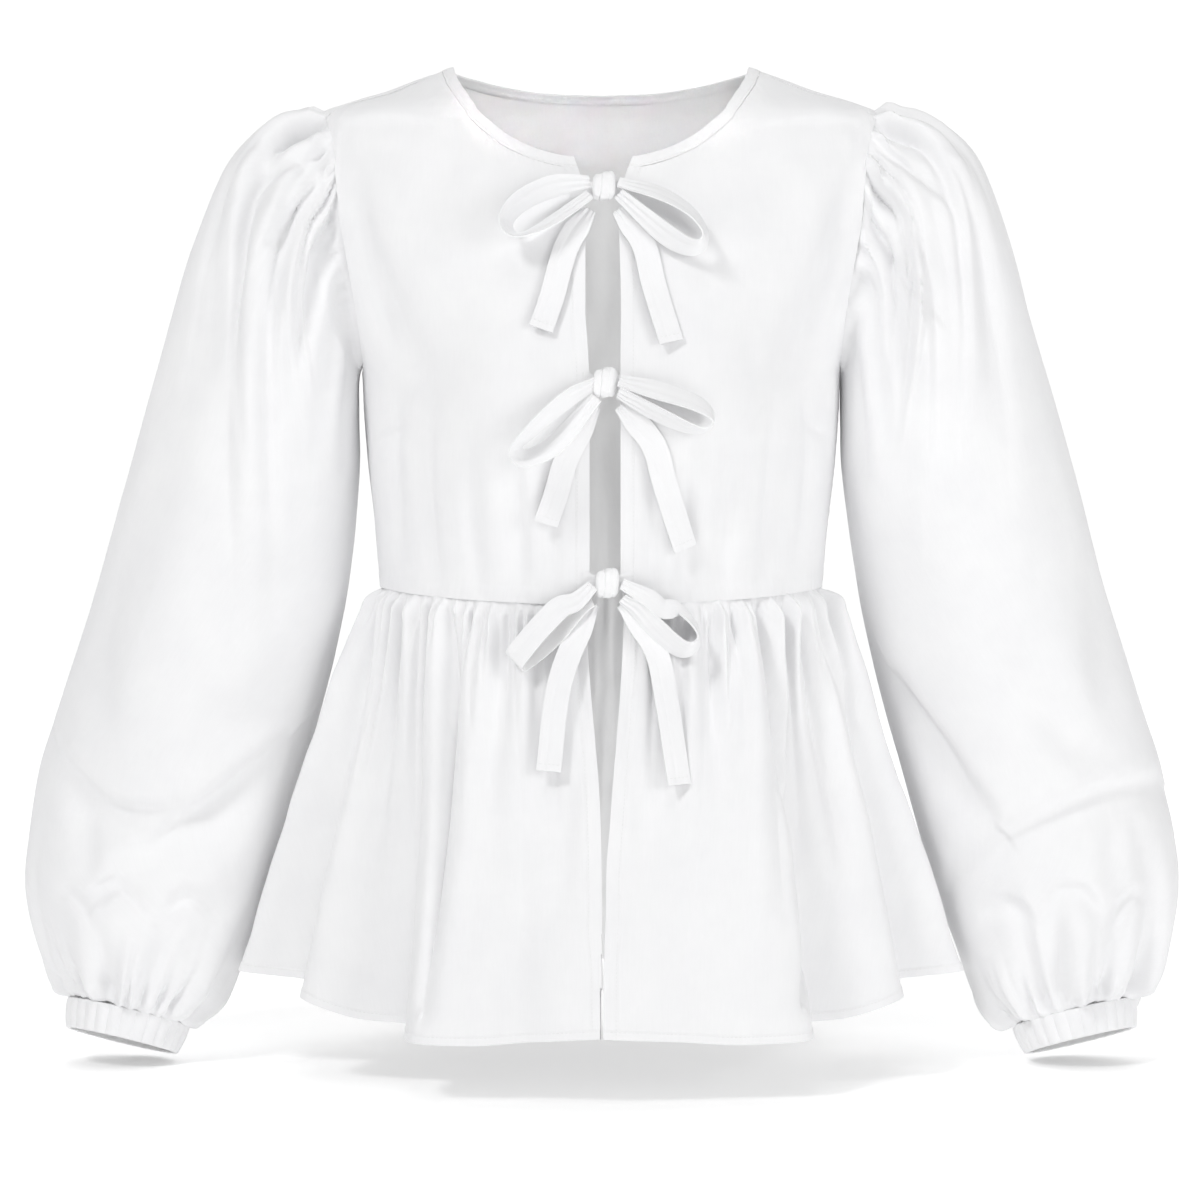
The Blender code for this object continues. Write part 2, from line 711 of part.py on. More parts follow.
def sleeve_ring(section, turn):
    """One section of the sleeve. 0 is its outer side, 90 its front, 180 its inner side."""
    size = dict(zip(SLEEVE_COLUMNS, section))
    turn = np.radians(turn)
    across, forward = np.cos(turn), np.sin(turn)
    tip = np.radians(size["tip"])
    depth = np.where(forward > 0, size["front_depth"], size["back_depth"])
    x = (size["outer_x"] + size["inner_x"]) / 2 + across * (size["outer_x"] - size["inner_x"]) / 2
    z = (size["outer_z"] + size["inner_z"]) / 2 + across * (size["outer_z"] - size["inner_z"]) / 2
    return stacked(x, size["y"] - depth * forward * np.cos(tip), z + depth * forward * np.sin(tip))


def smooth_sleeve(turn, along):
    """The sleeve without its folds: along is 0 at the armhole and 1 more at each section after it."""
    rings = [armhole_line(turn) + np.array((SEAM_GAP, 0, 0))]
    rings += [sleeve_ring(section, turn) for section in SLEEVE_SECTIONS]
    return through(rings, [along])[0]


def fold_line(fold):
    """A fold's two end points, width and depth."""
    size = dict(zip(FOLD_COLUMNS, fold))
    start = smooth_sleeve(np.array([size["turn"]]), size["along"])[0]
    end = smooth_sleeve(np.array([size["end_turn"]]), size["end_along"])[0]
    return start, end, size["width"], size["depth"]


def sleeve(turn, along):
    """The sleeve's outer side, pressed in along its folds."""
    points = smooth_sleeve(turn, along)
    middle = smooth_sleeve(np.array([0.0, 180.0]), along).mean(axis=0)
    pressed = 0
    for start, end, width, depth in FOLD_LINES:
        run = end - start
        share = ((points - start) @ run / (run @ run)).clip(0, 1)
        away = np.linalg.norm(points - start - share[:, None] * run, axis=-1)
        pressed = pressed + depth * np.exp(-((away / width) ** 2))
    return points + unit(middle - points) * np.reshape(pressed, (-1, 1))


FOLD_LINES = [fold_line(fold) for fold in SLEEVE_FOLDS]


def sleeve_normal(turn, along):
    last = len(SLEEVE_SECTIONS)
    round_it = sleeve(turn + 1.0, along) - sleeve(turn - 1.0, along)
    if along == last:
        return unit(np.cross(round_it, cuff_frame()[1]))
    onward = sleeve(turn, min(along + 0.1, last)) - sleeve(turn, max(along - 0.1, 0))
    return unit(np.cross(round_it, onward))


SEAM_TURN = -125.0
HEAD_POINTS = 3
UNDERARM_COLUMNS = 10
SLEEVE_OUTER_COLUMNS = 40
SLEEVE_INNER_COLUMNS = 24
HEAD_ROWS = (0.0, 0.4, 1.3, 2.6)
MIDDLE_ROWS = (3.7, 4.7, 5.7, 6.8, 8.0, 9.0, 10.0, 11.0, 12.0)
WRIST_ROWS = (12.8, 13.7, 14.8, 16.0)
SLEEVE_INNER_ROWS = (0.0, 1.0, 2.2, 3.7, 5.7, 8.0, 10.0, 11.4, 12.6, 13.7, 14.8, 16.0)


def whole_turn(count):
    return SEAM_TURN + np.linspace(0, 360, count, endpoint=False)


def head_turns():
    """Three points to each gather over the sleeve head, and plain ones under the arm."""
    spread = HEAD_GATHER_SPREAD
    over = np.linspace(-spread, spread, HEAD_GATHERS * HEAD_POINTS, endpoint=False)
    under = np.linspace(spread, 360 - spread, UNDERARM_COLUMNS, endpoint=False)
    return np.concatenate([over, under])


def sleeve_row(turns, along, proud=0.0):
    points = sleeve(turns, along) + sleeve_normal(turns, along) * np.reshape(proud, (-1, 1))
    return points, (turns - SEAM_TURN) / 360


def mirrored(row, side):
    points, places = row
    return points * np.array((side, 1, 1)), places


def head_ridges(turns):
    over = (np.abs(turns) < HEAD_GATHER_SPREAD).astype(float)
    return over * ridges((turns + HEAD_GATHER_SPREAD) / (2 * HEAD_GATHER_SPREAD) * HEAD_GATHERS)


def height_at(table, along):
    return np.interp(along, [row[0] for row in table], [row[1] for row in table])


def sleeve_piece(name, side):
    head = head_turns()
    middle = whole_turn(SLEEVE_OUTER_COLUMNS)
    wrist = whole_turn(WRIST_GATHERS * 3)
    wrist_waves = ridges(np.arange(len(wrist)) / 3)
    outer = [sleeve_row(head, a, height_at(HEAD_GATHER_HEIGHTS, a) * head_ridges(head)) for a in HEAD_ROWS]
    outer += [sleeve_row(middle, a) for a in MIDDLE_ROWS]
    outer += [sleeve_row(wrist, a, height_at(WRIST_GATHER_HEIGHTS, a) * wrist_waves) for a in WRIST_ROWS]
    inner = [sleeve_row(whole_turn(SLEEVE_INNER_COLUMNS), a, -WALL) for a in SLEEVE_INNER_ROWS]
    cloth = Cloth()
    cloth.wall([mirrored(r, side) for r in outer], [mirrored(r, side) for r in inner], closed=True)
    return cloth.build(name)


def cuff_frame():
    """The middle of the cuff's top edge, and the way that its tube runs."""
    across = sleeve_ring(SLEEVE_SECTIONS[-1], np.array([0.0, 90.0, 180.0, 270.0]))
    axis = unit(np.cross(across[1] - across[3], across[0] - across[2]))
    return across.mean(axis=0), axis * -np.sign(axis[2])


def cuff_ring(turns, down, scale, proud):
    """A ring of the cuff, this far down its axis from the sleeve's end."""
    middle, axis = cuff_frame()
    edge = sleeve_ring(SLEEVE_SECTIONS[-1], turns) - middle
    return middle + edge * scale + unit(edge) * np.reshape(proud, (-1, 1)) + axis * down


def cuff_piece(name, side):
    ribbed = whole_turn(WRIST_GATHERS * 3)
    plain = whole_turn(WRIST_GATHERS)
    ribs = CUFF["rib"] * ridges(np.arange(len(ribbed)) / 3)
    outer, inner = [], []
    for share in (0.0, 0.5, 1.0):
        down = SEAM_GAP + share * CUFF["height"]
        scale = 1 + share * (CUFF["bottom_scale"] - 1)
        bulge = CUFF["bulge"] * np.sin(np.pi * share)
        outer.append((cuff_ring(ribbed, down, scale, ribs + bulge), (ribbed - SEAM_TURN) / 360))
        if share != 0.5:
            inner.append((cuff_ring(plain, down, scale, -CUFF["wall"]), (plain - SEAM_TURN) / 360))
    cloth = Cloth()
    cloth.wall([mirrored(r, side) for r in outer], [mirrored(r, side) for r in inner], closed=True)
    return cloth.build(name)


# ---------------------------------------------------------------- ties


def front_cloth(x, height):
    """The front's outer side, straight behind the point (x, height): bodice or peplum."""
    x = np.asarray(x, float)
    height = np.asarray(height, float)
    on_bodice = height > WAIST_HEIGHT["front"]
    angle = np.degrees(np.arcsin(np.abs(x) / torso_size(height, "half_width")))
    bodice = torso(angle, height)[..., 1]
    side = LEFT if np.mean(x) > 0 else RIGHT
    hem = hem_size(np.abs(angle), side, "height")
    down = ((WAIST_HEIGHT["front"] - height) / (WAIST_HEIGHT["front"] - hem)).clip(0, 1)
    guess = angle
    for _ in range(12):
        reach = np.linalg.norm(peplum(guess, down, side)[..., :2], axis=-1)
        guess = np.degrees(np.arcsin((np.abs(x) / reach).clip(-1, 1)))
    return np.where(on_bodice, bodice, peplum(guess, down, side)[..., 1])


def off_the_front(x, height, proud):
    """Points this far off the front, and the way out of the cloth there."""
    step = 0.003
    slope_x = (front_cloth(x + step, height) - front_cloth(x - step, height)) / (2 * step)
    slope_z = (front_cloth(x, height + step) - front_cloth(x, height - step)) / (2 * step)
    out = unit(stacked(slope_x, -1.0, slope_z))
    return stacked(x, front_cloth(x, height), height) + out * np.reshape(proud, (-1, 1)), out


def ribbon(name, knot, side, rows, segments, pinched):
    """A flat ribbon along its table's route. pinched says which of its ends the knot gathers."""
    table = through(rows, np.linspace(0, len(rows) - 1, segments + 1))
    out, down, proud, turn = table.T
    place = np.linspace(0, 1, segments + 1)
    x = knot[0] + side * out
    middle, cloth_out = off_the_front(x, knot[1] - down, proud + RIBBON["lift"])
    run = unit(np.gradient(middle, axis=0))
    beside = unit(np.cross(run, cloth_out))
    turn = np.radians(turn)[:, None]
    across = unit(np.cos(turn) * cloth_out + np.sin(turn) * beside)
    up = unit(np.cross(across, run))
    from_end = {"both": np.minimum(place, 1 - place), "start": place}[pinched]
    width = RIBBON["width"] * (0.5 + 0.5 * smooth_curve((0, 0.2, 1), (0, 1, 1), from_end))[:, None] / 2
    half = RIBBON["wall"] / 2
    corners = [middle + a * width * across + b * half * up for a, b in ((1, 1), (1, -1), (-1, -1), (-1, 1))]
    cloth = Cloth()
    rings = cloth.skin([np.array(ring) for ring in zip(*corners)], closed=True)
    for ring in (rings[0], rings[-1]):
        a, b, c, d = (point for point, _ in ring)
        cloth.faces += [(a, b, c), (a, c, d)]
    return cloth.build(name, TIE_WHITE)


STRAP = {"reach": 0.0152, "height": 0.0090, "depth": 0.0010}
KNOT_SIDES = 10


def knot_piece(name, knot):
    """The knot swells out of the flat straps that join it to the two front edges."""
    half_width = KNOT["width"] / 2
    halves = (
        (STRAP["reach"], STRAP["height"], STRAP["depth"]),
        (half_width + 0.0006, STRAP["height"] * 0.8, STRAP["depth"]),
        (half_width, KNOT["height"] * 0.72, KNOT["depth"] * 0.62),
        (half_width * 0.62, KNOT["height"] * 0.95, KNOT["depth"] * 0.93),
        (0.0, KNOT["height"], KNOT["depth"]),
    )
    sections = [(-x, high, deep) for x, high, deep in halves] + list(halves[-2::-1])
    turn = np.linspace(0, 2 * np.pi, KNOT_SIDES, endpoint=False)
    rows = []
    for x, high, deep in sections:
        root, out = off_the_front(np.array([knot[0] + x]), np.array([knot[1]]), SEAM_GAP)
        up = unit(np.cross(out[0], np.array((1.0, 0.0, 0.0))))
        up = up * np.sign(up[2])
        rise = np.sign(np.sin(turn)) * np.abs(np.sin(turn)) ** KNOT["bulge"] * high / 2
        proud = (1 + np.sign(np.cos(turn)) * np.abs(np.cos(turn)) ** KNOT["bulge"]) * deep / 2
        rows.append(root + rise[:, None] * up + proud[:, None] * out)
    cloth = Cloth()
    rings = cloth.skin(rows, closed=True)
    for ring in (rings[0], rings[-1]):
        points = [point for point, _ in ring]
        cloth.faces += [(points[0], b, c) for b, c in zip(points[1:], points[2:])]
    return cloth.build(name, TIE_WHITE)


def tie(number, knot, loops, tails):
    name = f"tie_{number}_"
    knot_piece(name + "knot", knot)
    for word, side in (("left", LEFT), ("right", RIGHT)):
        ribbon(f"{name}loop_{word}", knot, side, loops[word], LOOP_SEGMENTS, "both")
        ribbon(f"{name}tail_{word}", knot, side, tails[word], TAIL_SEGMENTS, "start")


def main():
    for thing in list(bpy.data.objects):
        bpy.data.objects.remove(thing)
    for word, side in (("left", LEFT), ("right", RIGHT)):
        bodice_front(f"bodice_front_{word}", side)
        neck_band(f"neck_band_front_{word}", side)
        peplum_front(f"peplum_front_{word}", side)
        sleeve_piece(f"sleeve_{word}", side)
        cuff_piece(f"cuff_{word}", side)
    bodice_back("bodice_back")
    neck_band("neck_band_back", LEFT, from_back=True)
    peplum_back("peplum_back")
    for number, (knot, loops, tails) in enumerate(zip(KNOTS, LOOPS, TAILS), start=1):
        tie(number, knot, loops, tails)


main()
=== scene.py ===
"""The looks of a peplum blouse in white cotton poplin, open down the front and tied with three bows.

Metres, +Z up. The front faces -Y and +X is the wearer's left. Each cloth piece is laid over the
surface of its solid as a grid of points, lifted and pressed along its normals by gathers, creases,
hems and seams, and then given its thickness.
"""

import math

import bpy
import numpy as np
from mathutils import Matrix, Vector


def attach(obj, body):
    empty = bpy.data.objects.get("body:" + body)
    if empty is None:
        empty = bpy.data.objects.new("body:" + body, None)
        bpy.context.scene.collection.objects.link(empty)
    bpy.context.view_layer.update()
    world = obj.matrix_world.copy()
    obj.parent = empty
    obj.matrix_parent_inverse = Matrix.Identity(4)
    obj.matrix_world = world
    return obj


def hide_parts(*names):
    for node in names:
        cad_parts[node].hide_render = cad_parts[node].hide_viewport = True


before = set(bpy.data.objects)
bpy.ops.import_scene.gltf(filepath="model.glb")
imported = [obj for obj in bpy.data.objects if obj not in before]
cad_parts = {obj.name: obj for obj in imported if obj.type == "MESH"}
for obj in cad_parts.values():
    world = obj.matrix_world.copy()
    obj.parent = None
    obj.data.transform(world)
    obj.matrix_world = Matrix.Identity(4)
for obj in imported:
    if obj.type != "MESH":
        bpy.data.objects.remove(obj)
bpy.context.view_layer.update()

LEFT, RIGHT = 1.0, -1.0
SIDES = (("left", LEFT), ("right", RIGHT))
MM = 0.001

# ---------------------------------------------------------------- the solids' sizes

SEAM_GAP = 0.0003
CLOTH = 0.0008

TORSO_COLUMNS = ("height", "half_width", "front_depth", "back_depth")
TORSO_SECTIONS = (
    (0.0000, 0.0945, 0.042, 0.040),
    (-0.0085, 0.1187, 0.048, 0.046),
    (-0.0168, 0.1406, 0.054, 0.052),
    (-0.0240, 0.1658, 0.059, 0.058),
    (-0.0285, 0.1775, 0.062, 0.062),
    (-0.0345, 0.1830, 0.066, 0.066),
    (-0.0460, 0.1868, 0.071, 0.073),
    (-0.0650, 0.1885, 0.080, 0.084),
    (-0.0900, 0.1860, 0.089, 0.093),
    (-0.1150, 0.1790, 0.097, 0.099),
    (-0.1400, 0.1710, 0.102, 0.103),
    (-0.1650, 0.1630, 0.105, 0.104),
    (-0.1800, 0.1580, 0.106, 0.1035),
    (-0.1950, 0.1535, 0.107, 0.102),
    (-0.2200, 0.1525, 0.107, 0.099),
    (-0.2500, 0.1505, 0.104, 0.095),
    (-0.2870, 0.1464, 0.101, 0.092),
    (-0.3400, 0.1412, 0.0985, 0.092),
)
WAIST_HEIGHT = {"front": -0.338, "side": -0.333, "back": -0.335}
BUST = {"forward": 0.026, "x": 0.075, "height": -0.212, "wide": 0.048, "above": 0.038, "below": 0.048}

NECKLINE_COLUMNS = ("angle", "height")
NECKLINE = (
    (0.0, -0.0598),
    (6.5, -0.0583),
    (11.0, -0.0550),
    (16.8, -0.0474),
    (23.8, -0.0329),
    (28.0, -0.0252),
    (32.6, -0.0206),
    (40.0, -0.0149),
    (46.5, -0.0104),
    (58.0, -0.0050),
    (75.0, -0.0010),
    (90.0, 0.0000),
    (110.0, -0.0025),
    (135.0, -0.0070),
    (150.0, -0.0112),
    (167.0, -0.0155),
    (180.0, -0.0165),
)
NECK_BAND_WIDTH = 0.0075
SHOULDER_SEAM_ANGLE = 72.5

FRONT_EDGE_COLUMNS = ("height", "right_edge", "left_edge")
FRONT_EDGES = (
    (-0.0564, 0.0177, 0.0206),
    (-0.0722, 0.0126, 0.0148),
    (-0.0950, 0.0097, 0.0112),
    (-0.1550, 0.0097, 0.0125),
    (-0.1800, 0.0080, 0.0122),
    (-0.1993, 0.0071, 0.0122),
    (-0.3238, 0.0071, 0.0122),
    (-0.3400, 0.0090, 0.0142),
    (-0.4710, 0.0002, 0.0055),
    (-0.5030, -0.0004, 0.0032),
    (-0.6100, -0.0012, 0.0024),
)

ARMHOLE = {"top": -0.0280, "bottom": -0.1950, "front": 0.040, "back": 0.045, "squareness": 2.4}
SEAM_AT_ARMHOLE = 24.0
SIDE_GAP_ANGLE = 0.06
SHOULDER_GAP_ANGLE = 0.2

HEM_COLUMNS = ("angle_left", "angle_right", "radius", "height")
HEM = (
    (0, 0, 0.172, -0.6000),
    (16, 15, 0.171, -0.6030),
    (30, 27, 0.181, -0.6060),
    (41, 36, 0.195, -0.6050),
    (46, 42, 0.182, -0.6040),
    (52, 49, 0.158, -0.6020),
    (59, 58, 0.178, -0.6000),
    (68, 67, 0.205, -0.5890),
    (77, 77, 0.186, -0.5840),
    (85, 85, 0.234, -0.5800),
    (91, 91, 0.226, -0.5800),
    (100, 100, 0.192, -0.5820),
    (112, 112, 0.222, -0.5850),
    (125, 125, 0.176, -0.5920),
    (140, 140, 0.206, -0.5980),
    (155, 155, 0.166, -0.6000),
    (168, 168, 0.186, -0.6010),
    (180, 180, 0.172, -0.6000),
)
FLARE_POWER = 0.87
WAIST_GATHERS = {"front": 22, "back": 44}

SLEEVE_COLUMNS = ("outer_x", "outer_z", "inner_x", "inner_z", "front_depth", "back_depth", "y", "tip")
SLEEVE_SECTIONS = (
    (0.1871, -0.0295, 0.1542, -0.1987, 0.043, 0.047, 0.000, 0),
    (0.2051, -0.0303, 0.1548, -0.2064, 0.050, 0.052, 0.000, 0),
    (0.2226, -0.0398, 0.1548, -0.2161, 0.055, 0.056, 0.001, 0),
    (0.2427, -0.0643, 0.1549, -0.2308, 0.060, 0.060, 0.002, 0),
    (0.2636, -0.1157, 0.1550, -0.2515, 0.064, 0.063, 0.005, 0),
    (0.2866, -0.1930, 0.1572, -0.2772, 0.067, 0.065, 0.010, 0),
    (0.3086, -0.2705, 0.1614, -0.3160, 0.070, 0.067, 0.016, 0),
    (0.3315, -0.3483, 0.1703, -0.3679, 0.073, 0.070, 0.024, 1),
    (0.3524, -0.4103, 0.1830, -0.4167, 0.075, 0.073, 0.031, 2),
    (0.3665, -0.4527, 0.1943, -0.4559, 0.076, 0.075, 0.034, 3),
    (0.3748, -0.5048, 0.2073, -0.5016, 0.075, 0.075, 0.033, 4),
    (0.3750, -0.5306, 0.2200, -0.5404, 0.072, 0.072, 0.029, 6),
    (0.3696, -0.5562, 0.2332, -0.5737, 0.065, 0.065, 0.022, 8),
    (0.3594, -0.5814, 0.2454, -0.5996, 0.053, 0.053, 0.012, 11),
    (0.3492, -0.5962, 0.2596, -0.6143, 0.040, 0.040, 0.003, 13),
    (0.3447, -0.6004, 0.2682, -0.6185, 0.033, 0.033, -0.001, 14),
)
WRIST_GATHERS = 28
HEAD_GATHER_SPREAD = 125.0
CUFF = {"height": 0.019, "bottom_scale": 0.90, "bulge": 0.0010}

RIBBON = {"width": 0.0154, "lift": 0.0016}
KNOTS = ((0.0019, -0.0793), (0.0039, -0.1993), (0.0039, -0.3238))

# ---------------------------------------------------------------- creases, as seen from the front

# Each crease runs through three places on the cloth, each one x and height. Depth is how far it is
# raised, or pressed where it is negative, and left and right are how far it fades on each side of
# the way that it runs. All are in millimetres.
CREASE_COLUMNS = ("x1", "z1", "x2", "z2", "x3", "z3", "depth", "left", "right")
BODICE_CREASES = {
    "left": (
        (159, -67, 143, -125, 106, -201, -1.6, 16, 10),
        (129, -211, 133, -254, 126, -311, -1.3, 7, 8),
        (109, -220, 106, -273, 101, -326, -1.6, 9, 6),
        (84, -235, 79, -286, 77, -331, -1.4, 6, 8),
        (56, -229, 54, -286, 52, -333, -1.6, 8, 6),
        (31, -254, 32, -298, 30, -334, -1.1, 6, 6),
        (146, -233, 137, -229, 130, -217, -0.9, 5, 2),
        (162, -36, 133, -36, 104, -40, -0.9, 7, 3),
        (156, -41, 124, -56, 78, -90, -1.3, 16, 16),
        (155, -89, 143, -148, 130, -181, -1, 9, 7),
        (17, -117, 34, -167, 51, -211, -0.8, 12, 12),
    ),
    "right": (
        (-158, -67, -143, -125, -106, -201, -1.6, 10, 16),
        (-129, -211, -131, -254, -127, -311, -1.3, 8, 7),
        (-107, -222, -109, -273, -103, -326, -1.6, 6, 9),
        (-82, -235, -81, -286, -77, -331, -1.4, 8, 6),
        (-56, -229, -52, -286, -51, -333, -1.6, 6, 9),
        (-31, -254, -31, -298, -28, -333, -1.1, 6, 6),
        (-144, -237, -136, -234, -126, -226, -0.9, 2, 5),
        (-160, -36, -134, -35, -105, -40, -0.9, 3, 7),
        (-156, -41, -125, -55, -77, -89, -1.3, 16, 16),
        (-155, -89, -143, -148, -130, -181, -1, 7, 9),
        (-16, -117, -35, -167, -51, -211, -0.8, 12, 12),
    ),
}
SLEEVE_CREASES = {
    "left": (
        (167, -50, 193, -64, 224, -89, -3, 7, 3),
        (168, -67, 183, -83, 198, -108, -3.6, 2.8, 10),
        (175, -61, 197, -79, 212, -108, 1.8, 8, 8),
        (170, -42, 197, -44, 222, -56, -1.8, 6, 3.5),
        (164, -91, 182, -125, 207, -156, -3.4, 12, 3.5),
        (162, -117, 171, -174, 182, -249, -3, 11, 9),
        (157, -142, 162, -199, 167, -262, -2.4, 8, 8),
        (164, -101, 179, -148, 204, -224, -2.6, 13, 9),
        (188, -104, 207, -155, 217, -205, 2, 14, 14),
        (207, -79, 235, -130, 253, -186, -1.8, 18, 18),
        (314, -312, 323, -370, 320, -427, -3, 22, 18),
        (365, -462, 294, -475, 226, -527, -6, 16, 8),
        (256, -376, 286, -414, 318, -439, -4, 18, 14),
        (188, -392, 214, -434, 248, -479, -6, 8, 20),
        (334, -478, 328, -503, 332, -529, -2.2, 10, 10),
        (170, -312, 227, -338, 290, -331, -1.2, 26, 26),
        (287, -529, 306, -524, 320, -543, -3.2, 4, 9),
        (247, -543, 262, -534, 276, -548, -2.6, 4, 8),
        (349, -532, 337, -534, 327, -553, -2, 4, 6),
    ),
    "right": (
        (-165, -65, -186, -83, -213, -117, -5, 10, 2.6),
        (-170, -61, -193, -79, -221, -111, 2.2, 9, 9),
        (-213, -117, -217, -136, -220, -161, -2.4, 12, 7),
        (-170, -42, -195, -44, -224, -54, -1.8, 3.5, 6),
        (-168, -52, -198, -64, -228, -83, -2.6, 3, 7),
        (-170, -47, -199, -53, -227, -68, 1.6, 5, 5),
        (-162, -93, -182, -148, -205, -224, -3, 9, 13),
        (-157, -117, -167, -174, -179, -249, -3, 9, 11),
        (-153, -142, -159, -192, -165, -256, -2.2, 7, 8),
        (-161, -79, -171, -111, -182, -148, -2.4, 5, 8),
        (-178, -89, -199, -148, -214, -199, 2, 14, 14),
        (-199, -64, -227, -117, -250, -180, -1.6, 18, 18),
        (-310, -312, -322, -370, -320, -430, -3, 18, 22),
        (-352, -438, -315, -473, -268, -473, -6.5, 7, 20),
        (-343, -465, -331, -497, -328, -522, -2, 10, 10),
        (-202, -432, -251, -473, -308, -512, -6, 20, 8),
        (-215, -446, -232, -497, -267, -529, 1.6, 16, 16),
        (-175, -370, -216, -414, -260, -420, -3, 22, 20),
        (-171, -312, -222, -338, -285, -331, -1.2, 26, 26),
        (-320, -532, -307, -524, -288, -545, -3.2, 9, 4),
        (-278, -539, -261, -532, -246, -547, -2.6, 8, 4),
        (-349, -529, -337, -532, -327, -551, -2, 6, 4),
    ),
}
PEPLUM_CREASES = {
    "left": (
        (103, -348, 114, -431, 128, -581, -4.5, 5, 10),
        (68, -343, 71, -394, 76, -456, -1.8, 9, 9),
        (41, -357, 41, -406, 38, -481, -2, 10, 10),
        (19, -369, 24, -431, 29, -518, -1.4, 9, 9),
        (126, -357, 143, -431, 160, -506, -2, 12, 12),
        (89, -357, 93, -431, 98, -518, 1.6, 14, 14),
        (55, -357, 56, -431, 58, -518, 1.2, 14, 14),
    ),
    "right": (
        (-92, -348, -99, -431, -112, -581, -4.5, 10, 5),
        (-62, -343, -64, -394, -70, -456, -1.8, 9, 9),
        (-38, -357, -36, -406, -33, -481, -2, 10, 10),
        (-16, -369, -19, -431, -25, -518, -1.4, 9, 9),
        (-127, -357, -141, -431, -158, -506, -2, 12, 12),
        (-81, -357, -82, -431, -86, -518, 1.6, 14, 14),
        (-50, -357, -50, -431, -50, -518, 1.2, 14, 14),
    ),
}

# ---------------------------------------------------------------- curves through a table


def smooth_curve(xs, ys, x):
    """A smooth curve through the points (xs, ys), xs rising, that doesn't overshoot between them."""
    xs = np.asarray(xs, float)
    ys = np.asarray(ys, float)
    step = np.diff(xs)
    slope = np.diff(ys) / step
    tangent = np.zeros(len(xs))
    tangent[0] = slope[0]
    tangent[-1] = slope[-1]
    same_way = slope[:-1] * slope[1:] > 0
    low, high = slope[:-1][same_way], slope[1:][same_way]
    tangent[1:-1][same_way] = 2 * low * high / (low + high)
    x = np.clip(np.asarray(x, float), xs[0], xs[-1])
    i = np.clip(np.searchsorted(xs, x, side="right") - 1, 0, len(step) - 1)
    t = (x - xs[i]) / step[i]
    start = (1 + 2 * t) * (1 - t) ** 2 * ys[i] + t * (1 - t) ** 2 * step[i] * tangent[i]
    end = t * t * (3 - 2 * t) * ys[i + 1] + t * t * (t - 1) * step[i] * tangent[i + 1]
    return start + end


def column(rows, names, wanted, key, x):
    """The column called wanted, read at x of the column called key."""
    table = sorted(rows, key=lambda row: row[names.index(key)])
    keys = [row[names.index(key)] for row in table]
    return smooth_curve(keys, [row[names.index(wanted)] for row in table], x)


def through(points, s):
    """A smooth path through points of any shape, stacked along the first axis, at places s."""
    points = np.asarray(points, float)
    s = np.clip(np.asarray(s, float), 0, len(points) - 1)
    i = np.minimum(s.astype(int), len(points) - 2)
    t = (s - i).reshape((-1,) + (1,) * (points.ndim - 1))
    tangent = np.gradient(points, axis=0)
    start = (1 + 2 * t) * (1 - t) ** 2 * points[i] + t * (1 - t) ** 2 * tangent[i]
    end = t * t * (3 - 2 * t) * points[i + 1] + t * t * (t - 1) * tangent[i + 1]
    return start + end


def stacked(*parts):
    return np.stack(np.broadcast_arrays(*parts), axis=-1)


def unit(v):
    return v / np.maximum(np.linalg.norm(v, axis=-1, keepdims=True), 1e-12)


def smoothstep(low, high, x):
    t = np.clip((x - low) / (high - low), 0, 1)
    return t * t * (3 - 2 * t)


def hump(away, reach):
    return np.exp(-((away / reach) ** 2))


def running(steps):
    """How far along each step ends, with the start before them."""
    return np.concatenate([[0], np.cumsum(steps)])


def seeded(seed, side):
    return seed if side == LEFT else seed + 10


def crowded(count, *marks):
    """count places from 0 to 1, closer together round each mark: (place, reach, how much closer)."""
    x = np.linspace(0, 1, 2001)
    density = np.ones_like(x)
    for place, reach, closer in marks:
        density += closer * hump(x - place, reach)
    walk = running((density[1:] + density[:-1]) / 2)
    return np.interp(np.linspace(0, walk[-1], count), walk, x)


# ---------------------------------------------------------------- the bodice surface


def torso_size(height, name):
    return column(TORSO_SECTIONS, TORSO_COLUMNS, name, "height", height)


def bust(x, height):
    below = height < BUST["height"]
    tall = np.where(below, BUST["below"], BUST["above"])
    across = ((np.abs(x) - BUST["x"]) / BUST["wide"]) ** 2
    along = ((height - BUST["height"]) / tall) ** 2
    return BUST["forward"] * np.exp(-(across + along) / 2)


def torso(angle, height):
    """The point of the bodice's outer side at this angle from the centre front and this height."""
    turn = np.radians(angle)
    x = torso_size(height, "half_width") * np.sin(turn)
    forward = np.cos(turn)
    in_front = forward > 0
    depth = np.where(in_front, torso_size(height, "front_depth"), torso_size(height, "back_depth"))
    y = -depth * forward - np.where(in_front, bust(x, height) * forward**2, 0)
    return stacked(x, y, height)


def torso_normal(angle, height):
    round_it = torso(angle + 0.05, height) - torso(angle - 0.05, height)
    up = torso(angle, height + 0.0003) - torso(angle, height - 0.0003)
    return unit(np.cross(round_it, up))


def waist_height(angle):
    forward = np.cos(np.radians(angle))
    end = np.where(forward > 0, WAIST_HEIGHT["front"], WAIST_HEIGHT["back"])
    return WAIST_HEIGHT["side"] + (end - WAIST_HEIGHT["side"]) * forward**2


def front_edge_x(height, side):
    name = "left_edge" if side == LEFT else "right_edge"
    return column(FRONT_EDGES, FRONT_EDGE_COLUMNS, name, "height", height)


def front_edge_angle(height, side):
    return np.degrees(np.arcsin(front_edge_x(height, side) / torso_size(height, "half_width")))


